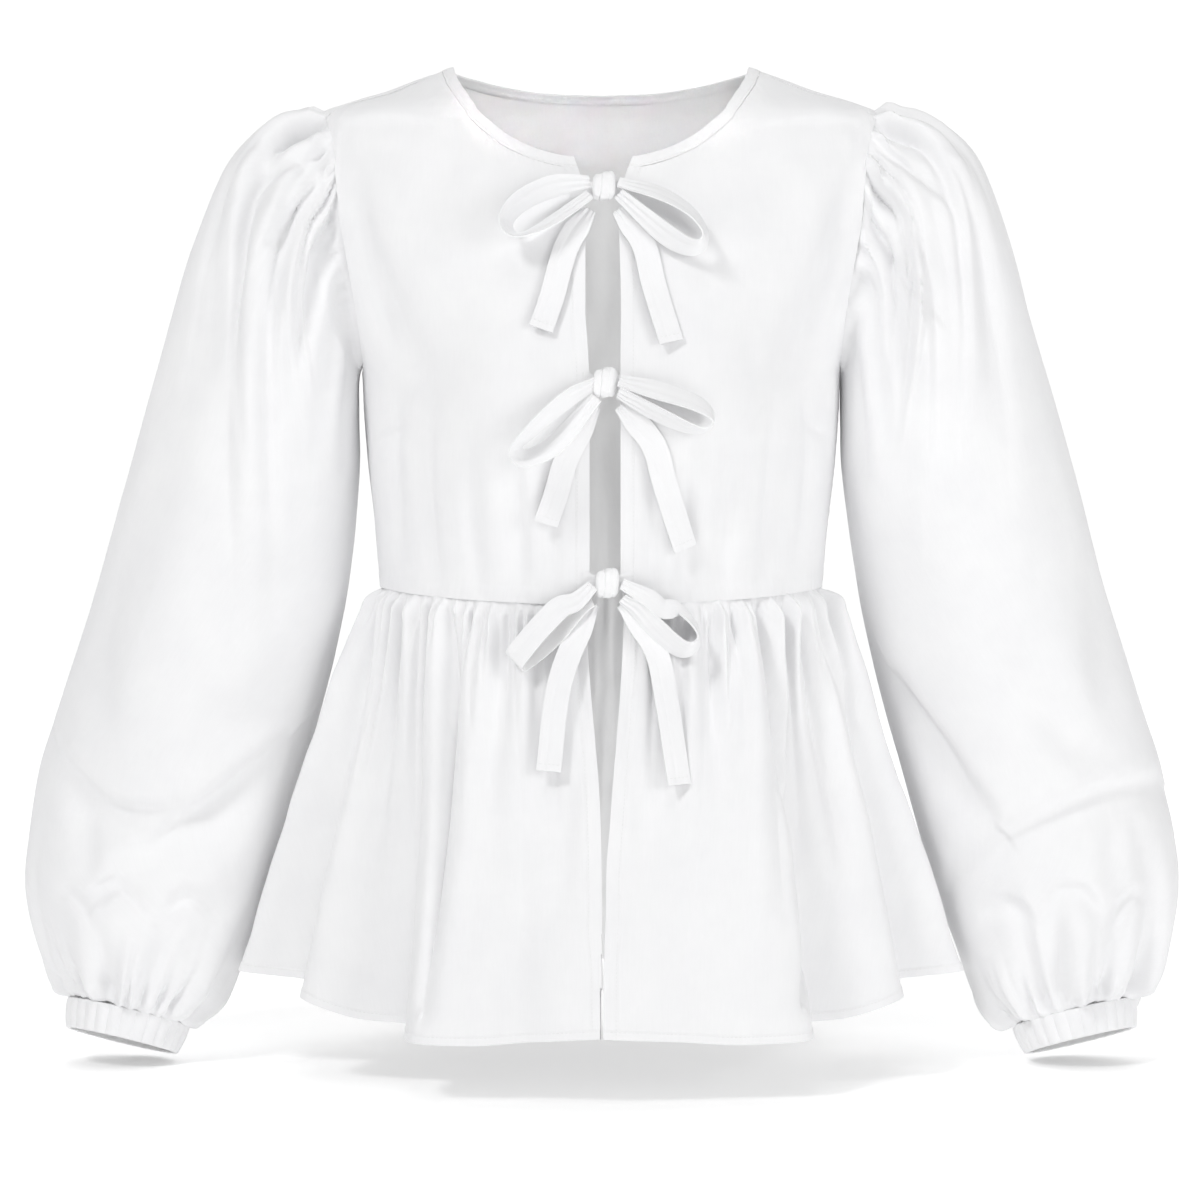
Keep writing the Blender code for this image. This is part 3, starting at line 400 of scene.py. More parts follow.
def armhole(turn):
    """Angle and height on the bodice of the armhole: 0 is its top, 90 its front, 180 its bottom."""
    turn = np.radians(turn)
    power = 2 / ARMHOLE["squareness"]
    rise = np.sign(np.cos(turn)) * np.abs(np.cos(turn)) ** power
    reach = np.sign(np.sin(turn)) * np.abs(np.sin(turn)) ** power
    middle = (ARMHOLE["top"] + ARMHOLE["bottom"]) / 2
    height = middle + (ARMHOLE["top"] - middle) * rise
    front = np.degrees(np.arccos(ARMHOLE["front"] * reach.clip(0, 1) / torso_size(height, "front_depth")))
    back = np.degrees(np.arccos(-ARMHOLE["back"] * (-reach).clip(0, 1) / torso_size(height, "back_depth")))
    return np.where(reach > 0, front, back), height


def neckline_height(angle):
    return column(NECKLINE, NECKLINE_COLUMNS, "height", "angle", angle)


def neck_seam_height(angle, width):
    """The height, at each angle, of the line that runs this far below the neckline on the cloth."""
    edge = neckline_height(angle)
    start = torso(angle, edge)
    after = torso(angle + 0.5, neckline_height(angle + 0.5))
    before = torso(angle - 0.5, neckline_height(np.abs(angle - 0.5)))
    down = unit(torso(angle, edge - 0.002) - start)
    square_on = np.linalg.norm(np.cross(unit(after - before), down), axis=-1)
    length = width / square_on.clip(0.6, 1)
    near, far = edge, edge - 0.02
    for _ in range(30):
        middle = (near + far) / 2
        short = np.linalg.norm(torso(angle, middle) - start, axis=-1) < length
        near = np.where(short, middle, near)
        far = np.where(short, far, middle)
    return (near + far) / 2


def below_band(angle):
    return neck_seam_height(angle, NECK_BAND_WIDTH + SEAM_GAP)


def band_seam(angle):
    return neck_seam_height(angle, NECK_BAND_WIDTH)


def patch(bottom, top, start, end, u, v):
    """Angles and heights over a panel, blended from its four edges, which are read at u and v."""
    grid = []
    u, v = u[None, :], v[:, None]
    for low, high, left, right in zip(bottom, top, start, end):
        corners = (1 - v) * ((1 - u) * low[0] + u * low[-1]) + v * ((1 - u) * high[0] + u * high[-1])
        across = (1 - v) * low[None, :] + v * high[None, :]
        along = (1 - u) * left[:, None] + u * right[:, None]
        grid.append(across + along - corners)
    return grid


def evenly(line, first, last, count):
    """count angles from first to last, evenly apart on the cloth along the heights line(angle)."""
    angle = np.linspace(first, last, 400)
    steps = np.linalg.norm(np.diff(torso(angle, line(angle)), axis=0), axis=1)
    walk = running(steps)
    return np.interp(np.linspace(0, walk[-1], count), walk, angle)


def front_corner(line, side):
    angle = 5.0
    for _ in range(6):
        angle = float(front_edge_angle(line(np.array([angle]))[0], side))
    return angle


# ---------------------------------------------------------------- the peplum and sleeve surfaces


def hem_size(angle, side, name):
    key = "angle_left" if side == LEFT else "angle_right"
    return column(HEM, HEM_COLUMNS, name, key, np.abs(angle))


def peplum(angle, down, side):
    """The peplum's outer side at this angle, down from 0 at the waist seam to 1 at the hem."""
    top = torso(angle, waist_height(angle) - SEAM_GAP)
    turn = np.radians(angle)
    radius = hem_size(angle, side, "radius")
    flare = down**FLARE_POWER
    x = (1 - flare) * top[..., 0] + flare * radius * np.sin(turn)
    y = (1 - flare) * top[..., 1] - flare * radius * np.cos(turn)
    z = (1 - down) * top[..., 2] + down * hem_size(angle, side, "height")
    return stacked(x, y, z)


def peplum_edge_angle(down, side):
    """The angle of the front edge, from its distance to the centre line at each height."""
    height = (1 - down) * WAIST_HEIGHT["front"] + down * HEM[0][HEM_COLUMNS.index("height")]
    flare = down**FLARE_POWER
    waist = torso_size(np.array(WAIST_HEIGHT["front"]), "half_width")
    reach = (1 - flare) * waist + flare * HEM[0][HEM_COLUMNS.index("radius")]
    return np.degrees(np.arcsin(front_edge_x(height, side) / reach))


def sleeve_ring(section, turn):
    """One section of the sleeve. 0 is its outer side, 90 its front, 180 its inner side."""
    size = dict(zip(SLEEVE_COLUMNS, section))
    turn = np.radians(turn)
    across, forward = np.cos(turn), np.sin(turn)
    tip = np.radians(size["tip"])
    depth = np.where(forward > 0, size["front_depth"], size["back_depth"])
    x = (size["outer_x"] + size["inner_x"]) / 2 + across * (size["outer_x"] - size["inner_x"]) / 2
    z = (size["outer_z"] + size["inner_z"]) / 2 + across * (size["outer_z"] - size["inner_z"]) / 2
    return stacked(x, size["y"] - depth * forward * np.cos(tip), z + depth * forward * np.sin(tip))


def sleeve(turn, along):
    """The sleeve's outer side at every pair of turn and along: along is 0 at the armhole."""
    rings = [torso(*armhole(turn)) + np.array((SEAM_GAP, 0, 0))]
    rings += [sleeve_ring(section, turn) for section in SLEEVE_SECTIONS]
    return through(rings, along)


def cuff_frame():
    """The middle of the cuff's top edge, and the way that its tube runs."""
    across = sleeve_ring(SLEEVE_SECTIONS[-1], np.array([0.0, 90.0, 180.0, 270.0]))
    axis = unit(np.cross(across[1] - across[3], across[0] - across[2]))
    return across.mean(axis=0), axis * -np.sign(axis[2])


# ---------------------------------------------------------------- cloth over a grid


def grid_normals(points, wrap):
    """The way out of the grid at each point, from its neighbours."""
    if wrap:
        across = np.roll(points, -1, axis=1) - np.roll(points, 1, axis=1)
    else:
        across = np.gradient(points, axis=1)
    return unit(np.cross(across, np.gradient(points, axis=0)))


def lowest_near(lift, wrap, reach=2):
    """The lowest lift within reach of each point."""
    low = lift.copy()
    for axis in (0, 1):
        padded = np.pad(low, [(reach, reach) if k == axis else (0, 0) for k in (0, 1)],
                        mode="wrap" if wrap and axis == 1 else "edge")
        low = np.min([np.take(padded, range(k, k + low.shape[axis]), axis=axis)
                      for k in range(2 * reach + 1)], axis=0)
    return low


def walked(points, axis):
    """How far each point is along its row or column, in metres."""
    steps = np.linalg.norm(np.diff(points, axis=axis), axis=-1)
    start = np.zeros_like(np.take(steps, [0], axis=axis))
    return np.concatenate([start, np.cumsum(steps, axis=axis)], axis=axis)


def quads(rows, columns, first, wrap):
    i, j = np.meshgrid(np.arange(rows - 1), np.arange(columns if wrap else columns - 1), indexing="ij")
    after = (j + 1) % columns
    corners = (i * columns + j, i * columns + after, (i + 1) * columns + after, (i + 1) * columns + j)
    return first + np.stack(corners, axis=-1).reshape(-1, 4)


def rim(outer, inner, turned):
    """Triangles between a row of points and one with half as many spaces."""
    faces = []
    for k in range(len(inner) - 1):
        a, b, c = outer[2 * k : 2 * k + 3]
        d, e = inner[k], inner[k + 1]
        faces += [(b, a, d), (c, b, e), (d, e, b)]
    return [face[::-1] for face in faces] if turned else faces


FORWARD, BACKWARD = (0.0, -1.0, 0.0), (0.0, 1.0, 0.0)
FAR_OFF = 9e9
FADED_OUT = 2.6


class Cloth:
    """A thin cloth over a grid of points, which its lift raises or presses along the normals."""

    def __init__(self, name, points, wrap=False, side=LEFT, outward=None):
        self.name = name
        self.points = points
        self.wrap = wrap
        self.side = side
        self.own_side = np.array((side, 1, 1))
        self.normals = grid_normals(points, wrap)
        if outward is not None and np.mean(np.sum(self.normals * outward, axis=-1)) < 0:
            self.normals = -self.normals
        self.lift = np.zeros(points.shape[:2])
        self.along = walked(points, 0)
        self.across = walked(points, 1)
        self.thickness = CLOTH
        self.shift = np.zeros(points.shape)

    def tuck_under(self, along, under):
        """Slips the first rows under the cloth they are sewn to."""
        way = unit(self.points[0] - self.points[4])
        for row, share in enumerate((1.0, 0.8, 0.45, 0.15)):
            self.shift[row] = share * (along * way - under * self.normals[0])
            self.lift[row] *= 0.25 + 0.25 * row

    def surface(self):
        """The cloth's outer side, on its own side of the blouse."""
        return (self.points + self.shift + self.normals * self.lift[..., None]) * self.own_side

    def inside(self):
        low = lowest_near(self.lift, self.wrap)[::2, ::2] - self.thickness
        points = (self.points + self.shift)[::2, ::2] + self.normals[::2, ::2] * low[..., None]
        return points * self.own_side

    def crease(self, rows, way=FORWARD, deeper=1.0):
        """Raises or presses the cloth along each row's line, on the side that faces this way."""
        flat = self.points.reshape(-1, 3)
        normals = self.normals.reshape(-1, 3)
        faces_it = normals @ np.array(way) > 0.05
        lift = self.lift.reshape(-1)
        t = np.linspace(0, 1, 13)[:, None]
        for row in rows:
            size = dict(zip(CREASE_COLUMNS, np.array(row) / 1000))
            corners = np.array([[size[f"x{k}"] * self.side, size[f"z{k}"]] for k in (1, 2, 3)])
            middle = 2 * corners[1] - (corners[0] + corners[2]) / 2
            line = (1 - t) ** 2 * corners[0] + 2 * t * (1 - t) * middle + t * t * corners[2]
            near = []
            for place in line:
                away = ((flat[:, [0, 2]] - place) ** 2).sum(1)
                near.append(np.where(faces_it, away, FAR_OFF).argmin())
            fades = (size["left"], size["right"])[:: int(self.side)]
            self.press_along(flat, normals, lift, np.array(near), deeper * size["depth"], *fades)
        self.lift = lift.reshape(self.lift.shape)

    def press_along(self, flat, normals, lift, near, depth, left, right):
        places = flat[near]
        places[1:-1] = (places[:-2] + 2 * places[1:-1] + places[2:]) / 4
        reach = FADED_OUT * max(left, right)
        low, high = places.min(axis=0) - reach, places.max(axis=0) + reach
        close = np.flatnonzero(((flat > low) & (flat < high)).all(axis=1))
        points = flat[close]
        best = np.full(len(close), FAR_OFF)
        beside = np.zeros(len(close))
        share = np.zeros(len(close))
        for k in range(len(places) - 1):
            run = places[k + 1] - places[k]
            length = max(run @ run, 1e-12)
            t = ((points - places[k]) @ run / length).clip(0, 1)
            away = points - places[k] - t[:, None] * run
            distance = np.linalg.norm(away, axis=1)
            nearer = distance < best
            best = np.where(nearer, distance, best)
            turned = np.sum(np.cross(run, normals[close]) * away, axis=1)
            beside = np.where(nearer, turned, beside)
            share = np.where(nearer, (k + t) / (len(places) - 1), share)
        fade = np.where(beside > 0, right, left)
        ends = np.sin(np.pi * (0.08 + 0.84 * share)) ** 0.8
        lift[close] += depth * ends * hump(best, fade)

    def build(self, material):
        """The closed mesh, with the flat cloth's own coordinates in metres."""
        outer, inner = self.surface(), self.inside()
        rows, columns = outer.shape[:2]
        half_rows, half_columns = inner.shape[:2]
        first = rows * columns
        faces = quads(rows, columns, 0, self.wrap).tolist()
        faces += quads(half_rows, half_columns, first, self.wrap)[:, ::-1].tolist()
        index = np.arange(first).reshape(rows, columns)
        half = first + np.arange(half_rows * half_columns).reshape(half_rows, half_columns)
        for row, turned in ((0, False), (-1, True)):
            a, b = index[row], half[row]
            if self.wrap:
                a, b = np.append(a, a[0]), np.append(b, b[0])
            faces += rim(a.tolist(), b.tolist(), turned)
        if not self.wrap:
            faces += rim(index[:, 0].tolist(), half[:, 0].tolist(), True)
            faces += rim(index[:, -1].tolist(), half[:, -1].tolist(), False)
        points = np.concatenate([outer.reshape(-1, 3), inner.reshape(-1, 3)])
        places = stacked(self.across, self.along)
        places = np.concatenate([places.reshape(-1, 2), places[::2, ::2].reshape(-1, 2)])
        thing = mesh_object(self.name, points, faces, places, self.across.max() if self.wrap else None)
        finish_piece(thing, material)
        thing.data.materials.append(INSIDE_POPLIN)
        outside = (rows - 1) * (columns if self.wrap else columns - 1)
        inside = (half_rows - 1) * (half_columns if self.wrap else half_columns - 1)
        index = np.zeros(len(thing.data.polygons), np.int32)
        index[outside : outside + inside] = 1
        thing.data.polygons.foreach_set("material_index", index)
        return thing


def signed_volume(points, faces):
    total = 0.0
    for k in (1, 2):
        chosen = [(f[0], f[k], f[k + 1]) for f in faces if len(f) > k + 1]
        if chosen:
            corners = points[np.array(chosen)]
            total += np.einsum("ij,ij->", corners[:, 0], np.cross(corners[:, 1], corners[:, 2]))
    return total


def mesh_object(name, points, faces, places=None, round_total=None):
    if signed_volume(points, faces) < 0:
        faces = [face[::-1] for face in faces]
    mesh = bpy.data.meshes.new(name)
    mesh.from_pydata(points.tolist(), [], faces)
    if places is not None:
        layer = mesh.uv_layers.new(name="flat_cloth")
        corners = np.empty(len(mesh.loops), np.int32)
        mesh.loops.foreach_get("vertex_index", corners)
        values = places[corners].astype(np.float32)
        if round_total:
            starts = np.empty(len(mesh.polygons), np.int32)
            mesh.polygons.foreach_get("loop_start", starts)
            highest = np.maximum.reduceat(values[:, 0], starts)
            counts = np.diff(np.append(starts, len(corners)))
            highest = np.repeat(highest, counts)
            values[:, 0] += np.where(highest - values[:, 0] > round_total / 2, round_total, 0)
        layer.data.foreach_set("uv", values.ravel())
    mesh.shade_smooth()
    mesh.set_sharp_from_angle(angle=math.radians(55))
    thing = bpy.data.objects.new(name, mesh)
    bpy.context.scene.collection.objects.link(thing)
    return thing


def finish_piece(thing, material):
    thing.data.materials.append(material)
    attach(thing, "root")


# ---------------------------------------------------------------- materials


class Nodes:
    """A short way to add and link nodes in one material."""

    def __init__(self, name):
        self.material = bpy.data.materials.new(name)
        self.material.use_nodes = True
        self.tree = self.material.node_tree
        self.shader = self.tree.nodes["Principled BSDF"]

    def add(self, kind, inputs=(), **settings):
        node = self.tree.nodes.new(kind)
        for key, value in settings.items():
            setattr(node, key, value)
        for socket, value in dict(inputs).items():
            if isinstance(value, bpy.types.NodeSocket):
                self.tree.links.new(value, node.inputs[socket])
            else:
                node.inputs[socket].default_value = value
        return node

    def maths(self, operation, a, b=0.0):
        return self.add("ShaderNodeMath", {0: a, 1: b}, operation=operation).outputs[0]

    def noise(self, place, scale, detail, roughness=0.5):
        inputs = {"Vector": place, "Scale": scale, "Detail": detail, "Roughness": roughness}
        return self.add("ShaderNodeTexNoise", inputs).outputs["Fac"]

    def ramp(self, value, low, high, low_to, high_to):
        inputs = {"Value": value, "From Min": low, "From Max": high, "To Min": low_to, "To Max": high_to}
        return self.add("ShaderNodeMapRange", inputs).outputs["Result"]

    def set(self, **values):
        for key, value in values.items():
            socket = self.shader.inputs[key.replace("_", " ")]
            if isinstance(value, bpy.types.NodeSocket):
                self.tree.links.new(value, socket)
            else:
                socket.default_value = value


THREAD = 0.00034


def poplin(name, light, shade, slub=0.5, crinkle=0.00045, through=0.0):
    """White cotton: a plain weave with slubs, soft crinkles, and a little unevenness in its white."""
    made = Nodes(name)
    flat = made.add("ShaderNodeUVMap", uv_map="flat_cloth").outputs["UV"]
    place = made.add("ShaderNodeTexCoord").outputs["Object"]
    parts = made.add("ShaderNodeSeparateXYZ", {"Vector": flat}).outputs
    turns = 2 * math.pi / THREAD
    warp = made.maths("SINE", made.maths("MULTIPLY", parts["X"], turns))
    weft = made.maths("SINE", made.maths("MULTIPLY", parts["Y"], turns))
    weave = made.maths("MULTIPLY", warp, weft)
    stretched = made.add("ShaderNodeMapping", {"Vector": flat, "Scale": (900.0, 60.0, 1.0)}).outputs[0]
    slubs = made.noise(stretched, 1.0, 2.0)
    mottle = made.noise(place, 26.0, 3.0, 0.62)
    blotch = made.noise(place, 7.0, 2.0)
    tone = made.maths("ADD", made.maths("MULTIPLY", mottle, 0.6), made.maths("MULTIPLY", blotch, 0.4))
    mix = made.add("ShaderNodeMix", {0: made.ramp(tone, 0.36, 0.64, 0.0, 1.0)}, data_type="RGBA")
    mix.inputs["A"].default_value = (*shade, 1.0)
    mix.inputs["B"].default_value = (*light, 1.0)
    dark = made.ramp(slubs, 0.3, 0.7, 0.985, 1.0)
    colour = made.add("ShaderNodeMix", {0: 1.0}, data_type="RGBA", blend_type="MULTIPLY")
    made.tree.links.new(mix.outputs["Result"], colour.inputs["A"])
    made.tree.links.new(dark, colour.inputs["B"])
    soft = made.noise(place, 85.0, 4.0, 0.6)
    folds = made.add("ShaderNodeBump", {"Height": soft, "Strength": 0.55, "Distance": crinkle})
    rows = made.add("ShaderNodeBump", {"Height": slubs, "Strength": slub, "Distance": 0.00004,
                                       "Normal": folds.outputs[0]})
    threads = made.add("ShaderNodeBump", {"Height": weave, "Strength": 0.35, "Distance": 0.00003,
                                          "Normal": rows.outputs[0]})
    made.set(Base_Color=colour.outputs["Result"], Roughness=made.ramp(mottle, 0.3, 0.7, 0.78, 0.88),
             Metallic=0.0, Normal=threads.outputs[0])
    made.set(Specular_IOR_Level=0.22)
    made.set(Subsurface_Weight=through, Subsurface_Radius=(1.0, 1.0, 1.0), Subsurface_Scale=0.0045)
    return made.material


def thread_material():
    """Sewing thread: two plies wound round each other."""
    made = Nodes("white_thread")
    place = made.add("ShaderNodeTexCoord").outputs["Object"]
    plies = made.add("ShaderNodeTexWave", {"Vector": place, "Scale": 900.0, "Distortion": 1.0})
    bump = made.add("ShaderNodeBump", {"Height": plies.outputs["Fac"], "Strength": 0.4, "Distance": 0.00004})
    shade = made.ramp(made.noise(place, 60.0, 2.0), 0.3, 0.7, 0.80, 0.88)
    colour = made.add("ShaderNodeCombineColor", {0: shade, 1: shade, 2: shade})
    made.set(Base_Color=colour.outputs[0], Roughness=0.6, Normal=bump.outputs[0])
    made.set(Sheen_Weight=0.1)
    return made.material


WHITE_POPLIN = poplin("white_poplin", (0.91, 0.91, 0.915), (0.875, 0.875, 0.885))
TIE_POPLIN = poplin("tie_poplin", (0.92, 0.92, 0.925), (0.885, 0.885, 0.895), crinkle=0.0002)
INSIDE_POPLIN = poplin("inside_poplin", (0.91, 0.91, 0.912), (0.88, 0.88, 0.885), through=1.0)
THREAD_WHITE = thread_material()

# ---------------------------------------------------------------- gathers, hems and stitches


# Short gathers lie along each seam, with fewer that run on and a few long folds. A gather starts at
# a share of its height and reaches the rest over rise, widens by spread as it runs on, and fades to
# nothing. Valley is the width of the hollow beside it, and lean is how far it turns from the middle
# of the seam. The counts of the waist are shares of WAIST_GATHERS.
GATHER_COLUMNS = ("count", "height", "shortest", "longest", "rise", "start", "spread", "valley", "fade",
                  "lean", "lean_over")
GATHERS = {
    "waist": (
        (1.0, 0.0036, 0.024, 0.085, 0.012, 0.2, 0.8, 0.6, 1.2, 0.0, 1.0),
        (0.45, 0.0070, 0.080, 0.190, 0.016, 0.12, 0.5, 0.4, 1.2, 0.0, 1.0),
        (0.2, 0.0080, 0.180, 0.330, 0.070, 0.0, 0.7, 0.0, 1.2, 0.0, 1.0),
    ),
    "head": (
        (30, 0.0036, 0.014, 0.055, 0.004, 0.6, 0.8, 0.0, 1.2, 0.9, 0.04),
        (13, 0.0064, 0.060, 0.170, 0.012, 0.3, 0.7, 0.75, 1.2, 0.9, 0.04),
        (8, 0.0090, 0.200, 0.420, 0.080, 0.0, 0.6, 0.0, 1.2, 0.4, 0.05),
    ),
    "wrist": (
        (WRIST_GATHERS, 0.0034, 0.014, 0.050, 0.008, 0.2, 0.6, 0.6, 1.2, 0.0, 1.0),
        (13, 0.0080, 0.055, 0.125, 0.012, 0.12, 0.2, 0.7, 1.9, 0.0, 1.0),
        (6, 0.0070, 0.120, 0.220, 0.030, 0.0, 0.3, 0.0, 2.0, 0.0, 1.0),
    ),
}

# Just beyond its seam the cloth sinks to depth over sunk, and is level again from rises to level.
HOLLOW_COLUMNS = ("depth", "sunk", "rises", "level")
HOLLOWS = {
    "waist": (0.0032, 0.020, 0.05, 0.20),
    "head": (0.0034, 0.020, 0.05, 0.16),
    "wrist": (0.0034, 0.014, 0.02, 0.09),
}


def gather_folds(size, count, span, seed, first):
    """A ridge for each gather: its centre, half width, height, length and sideways drift. A few of
    them run long, more run half way, and most are short."""
    draw = np.random.default_rng(seed)
    gap = span / count
    centres = first + gap * (np.arange(count) + 0.5 + draw.uniform(-0.24, 0.24, count))
    kind = draw.permutation(np.arange(count) % 5)
    share = np.choose(kind, (1.0, 0.55, 0.5, 0.2, 0.1)) * draw.uniform(0.75, 1.25, count)
    lengths = size["shortest"] + (size["longest"] - size["shortest"]) * share
    heights = size["height"] * (0.75 + 0.75 * share) * draw.uniform(0.8, 1.2, count)
    drifts = gap * draw.uniform(-0.8, 0.8, count) * share
    drifts = drifts + size["lean"] * lengths * np.tanh(centres / size["lean_over"])
    widths = gap * draw.uniform(0.30, 0.42, count)
    return list(zip(centres, widths, heights, lengths, drifts))


def gathered(seam, away, folds, size, span_round):
    """The lift of cloth gathered at a seam: seam is each point's place along it, away its distance.
    Each gather is a rounded ridge that tapers off, and two that meet leave a valley between them."""
    lift = np.zeros(np.broadcast(seam, away).shape)
    cut = np.zeros(lift.shape)
    grown = size["start"] + (1 - size["start"]) * smoothstep(0.0, size["rise"], away)
    for number, (centre, width, height, length, drift) in enumerate(folds):
        t = (away / length).clip(0, 1)
        beside = seam - centre - drift * t**1.2
        if span_round:
            beside = (beside + span_round / 2) % span_round - span_round / 2
        steep = (1.25, 0.55, 0.8)[number % 3]
        wide = 1.25 * width * (1 + size["spread"] * t) * np.where(beside > 0, steep, 1.8 - steep)
        ridge = (1 - (beside / wide) ** 2).clip(0, 1) ** 1.2
        lift = np.maximum(lift, height * (1 - t) ** size["fade"] * grown * ridge)
        if size["valley"]:
            pinch = hump(beside - 1.3 * width, size["valley"] * width) * (1 - t).clip(0, 1) ** 0.8
            cut = np.maximum(cut, 0.7 * height * grown * pinch)
    return lift - cut


def add_gathers(cloth, place, seam, away, span, seed, first=0.0, times=1, calm=1.0, span_round=None):
    """Gathers the cloth at its waist, head or wrist seam, and sinks it a little just beyond."""
    for number, row in enumerate(GATHERS[place]):
        size = dict(zip(GATHER_COLUMNS, row))
        folds = gather_folds(size, round(size["count"] * times), span, seed + number, first)
        cloth.lift += calm * gathered(seam, away, folds, size, span_round)
    hollow = dict(zip(HOLLOW_COLUMNS, HOLLOWS[place]))
    sunk = smoothstep(0.0, hollow["sunk"], away) * (1 - smoothstep(hollow["rises"], hollow["level"], away))
    cloth.lift -= calm * hollow["depth"] * sunk


def soft_folds(u, v, height, seed, around=0):
    """Uneven soft folds: smooth random heights on a lattice one unit apart in u and v. With around,
    the lattice closes on itself after that many units of u."""
    draw = np.random.default_rng(seed)
    size_u = around or int(np.max(u)) + 3
    heights = draw.uniform(-1, 1, (size_u, int(np.max(v)) + 3))
    i, j = np.floor(u).astype(int), np.floor(v).astype(int)
    a, b = smoothstep(0, 1, u - i), smoothstep(0, 1, v - j)
    low, high = i % size_u, (i + 1) % size_u
    near = heights[low, j] * (1 - a) + heights[high, j] * a
    far = heights[low, j + 1] * (1 - a) + heights[high, j + 1] * a
    return height * (near * (1 - b) + far * b)


def drape(cloth, wide, long, height, seed, lean=0.0, around=0):
    """Soft folds over a whole piece, this wide and long in metres, leaning to one side."""
    if around:
        u = np.arange(cloth.lift.shape[1])[None, :] / cloth.lift.shape[1] * around + 0 * cloth.along
        u = u + lean * cloth.along / wide
    else:
        u = cloth.across / wide + lean * cloth.along / wide
    u = u - u.min() if not around else u % around
    v = cloth.along / long
    coarse = soft_folds(u, v, 1.0, seed, around)
    if around:
        fine = soft_folds((u * 2) % (around * 2), v * 1.7, 1.0, seed + 1, around * 2)
    else:
        fine = soft_folds(u * 2, v * 1.7, 1.0, seed + 1)
    cloth.lift += height * (coarse + 0.45 * fine - 0.35 * np.abs(coarse))


def puckers(along_seam, away, height, spacing, reach, seed):
    """Small ripples that run into a stitched seam."""
    draw = np.random.default_rng(seed)
    total = float(np.max(along_seam))
    count = max(int(total / spacing), 2)
    knots = np.linspace(0, total, count + 1)
    phase = np.interp(along_seam, knots, np.cumsum(draw.uniform(0.6, 1.4, count + 1)))
    strength = np.interp(along_seam, knots, draw.uniform(0.3, 1.0, count + 1))
    return height * strength * np.sin(2 * np.pi * phase) * np.exp(-away / reach)


STITCH_INSET = 0.0008


def hem_band(away, width, proud=0.55 * MM, soft=0.35 * MM):
    """A turned hem stands proud of the cloth, with a groove where it is stitched."""
    raised = proud * (1 - smoothstep(width - soft, width + soft, away))
    groove = 0.16 * MM * hump(away - width + STITCH_INSET, 0.00045)
    return raised - groove


def seam_line(cloth, edge, distance):
    """Points and normals along the line this far from one edge of the cloth."""
    outer = cloth.surface()
    normals = grid_normals(outer, cloth.wrap)
    if np.mean(np.sum(normals * cloth.normals * cloth.own_side, axis=-1)) < 0:
        normals = -normals
    by_row = edge in ("first_row", "last_row")
    walk = cloth.along if by_row else cloth.across
    if not by_row:
        walk, outer, normals = walk.T, outer.swapaxes(0, 1), normals.swapaxes(0, 1)
    if edge.startswith("last"):
        walk, outer, normals = (walk[-1] - walk)[::-1], outer[::-1], normals[::-1]
    points, ways = [], []
    for k in range(walk.shape[1]):
        place = np.interp(distance, walk[:, k], np.arange(len(walk)))
        low = min(int(place), len(walk) - 2)
        share = place - low
        points.append(outer[low, k] * (1 - share) + outer[low + 1, k] * share)
        ways.append(normals[low, k] * (1 - share) + normals[low + 1, k] * share)
    return np.array(points), unit(np.array(ways))


STITCH = {"pitch": 2.7 * MM, "length": 2.0 * MM, "radius": 0.17 * MM, "proud": 0.05 * MM}


def stitches(name, lines):
    """One mesh of short thread stitches along each line of points and normals."""
    points, faces = [], []
    for line, ways in lines:
        steps = np.linalg.norm(np.diff(line, axis=0), axis=1)
        walk = running(steps)
        starts = np.arange(STITCH["pitch"] / 2, walk[-1] - STITCH["pitch"] / 2, STITCH["pitch"])
        for start in starts:
            at = [start, start + STITCH["length"]]
            ends = np.stack([np.interp(at, walk, line[:, k]) for k in range(3)], axis=1)
            out = unit(np.array([np.interp(np.mean(at), walk, ways[:, k]) for k in range(3)]))
            run = ends[1] - ends[0]
            beside = unit(np.cross(run, out))
            base = len(points)
            points.append(ends[0] - out * STITCH["radius"])
            for share in (0.2, 0.8):
                middle = ends[0] + run * share + out * STITCH["proud"]
                for up, over in ((1, 0), (0, 1), (-1, 0), (0, -1)):
                    points.append(middle + STITCH["radius"] * (up * out + over * beside))
            points.append(ends[1] - out * STITCH["radius"])
            for k in range(4):
                a, b = base + 1 + k, base + 1 + (k + 1) % 4
                faces += [(base, b, a), (a, b, b + 4, a + 4), (a + 4, b + 4, base + 9)]
    thing = mesh_object(name, np.array(points), faces)
    finish_piece(thing, THREAD_WHITE)


# ---------------------------------------------------------------- bodice

FACING = 0.0087
FACING_PROUD = 0.40 * MM
ALLOWANCE = 0.0093
DOUBLED = 0.0014

# Flat is the size of the cloth laid flat, deeper is how much deeper than its table a panel's creases
# are, and folds are the width, length and height of its soft folds.
PANELS = {
    "front": {"flat": (0.20, 0.345), "deeper": 2.6, "folds": (0.030, 0.09, 0.7 * MM)},
    "back": {"flat": (0.44, 0.34), "deeper": 2.0, "folds": (0.030, 0.09, 0.7 * MM)},
    "peplum_front": {"flat": (0.33, 0.27), "deeper": 3.4, "folds": (0.024, 0.11, 0.9 * MM)},
    "peplum_back": {"flat": (0.66, 0.27), "folds": (0.024, 0.11, 0.9 * MM)},
    "sleeve": {"flat": (0.50, 0.60), "deeper": 1.8, "folds": (0.03, 0.16, 1.7 * MM)},
}


def side_and_armhole(first, last, count_side, count_hole, gap_angle):
    side = np.linspace(WAIST_HEIGHT["side"], ARMHOLE["bottom"], count_side + 1)[:-1]
    angle, height = armhole(np.linspace(first, last, count_hole))
    angles = np.concatenate([np.full(len(side), 90.0), angle])
    angles[: len(side) + 1] += gap_angle
    return angles, np.concatenate([side, height])


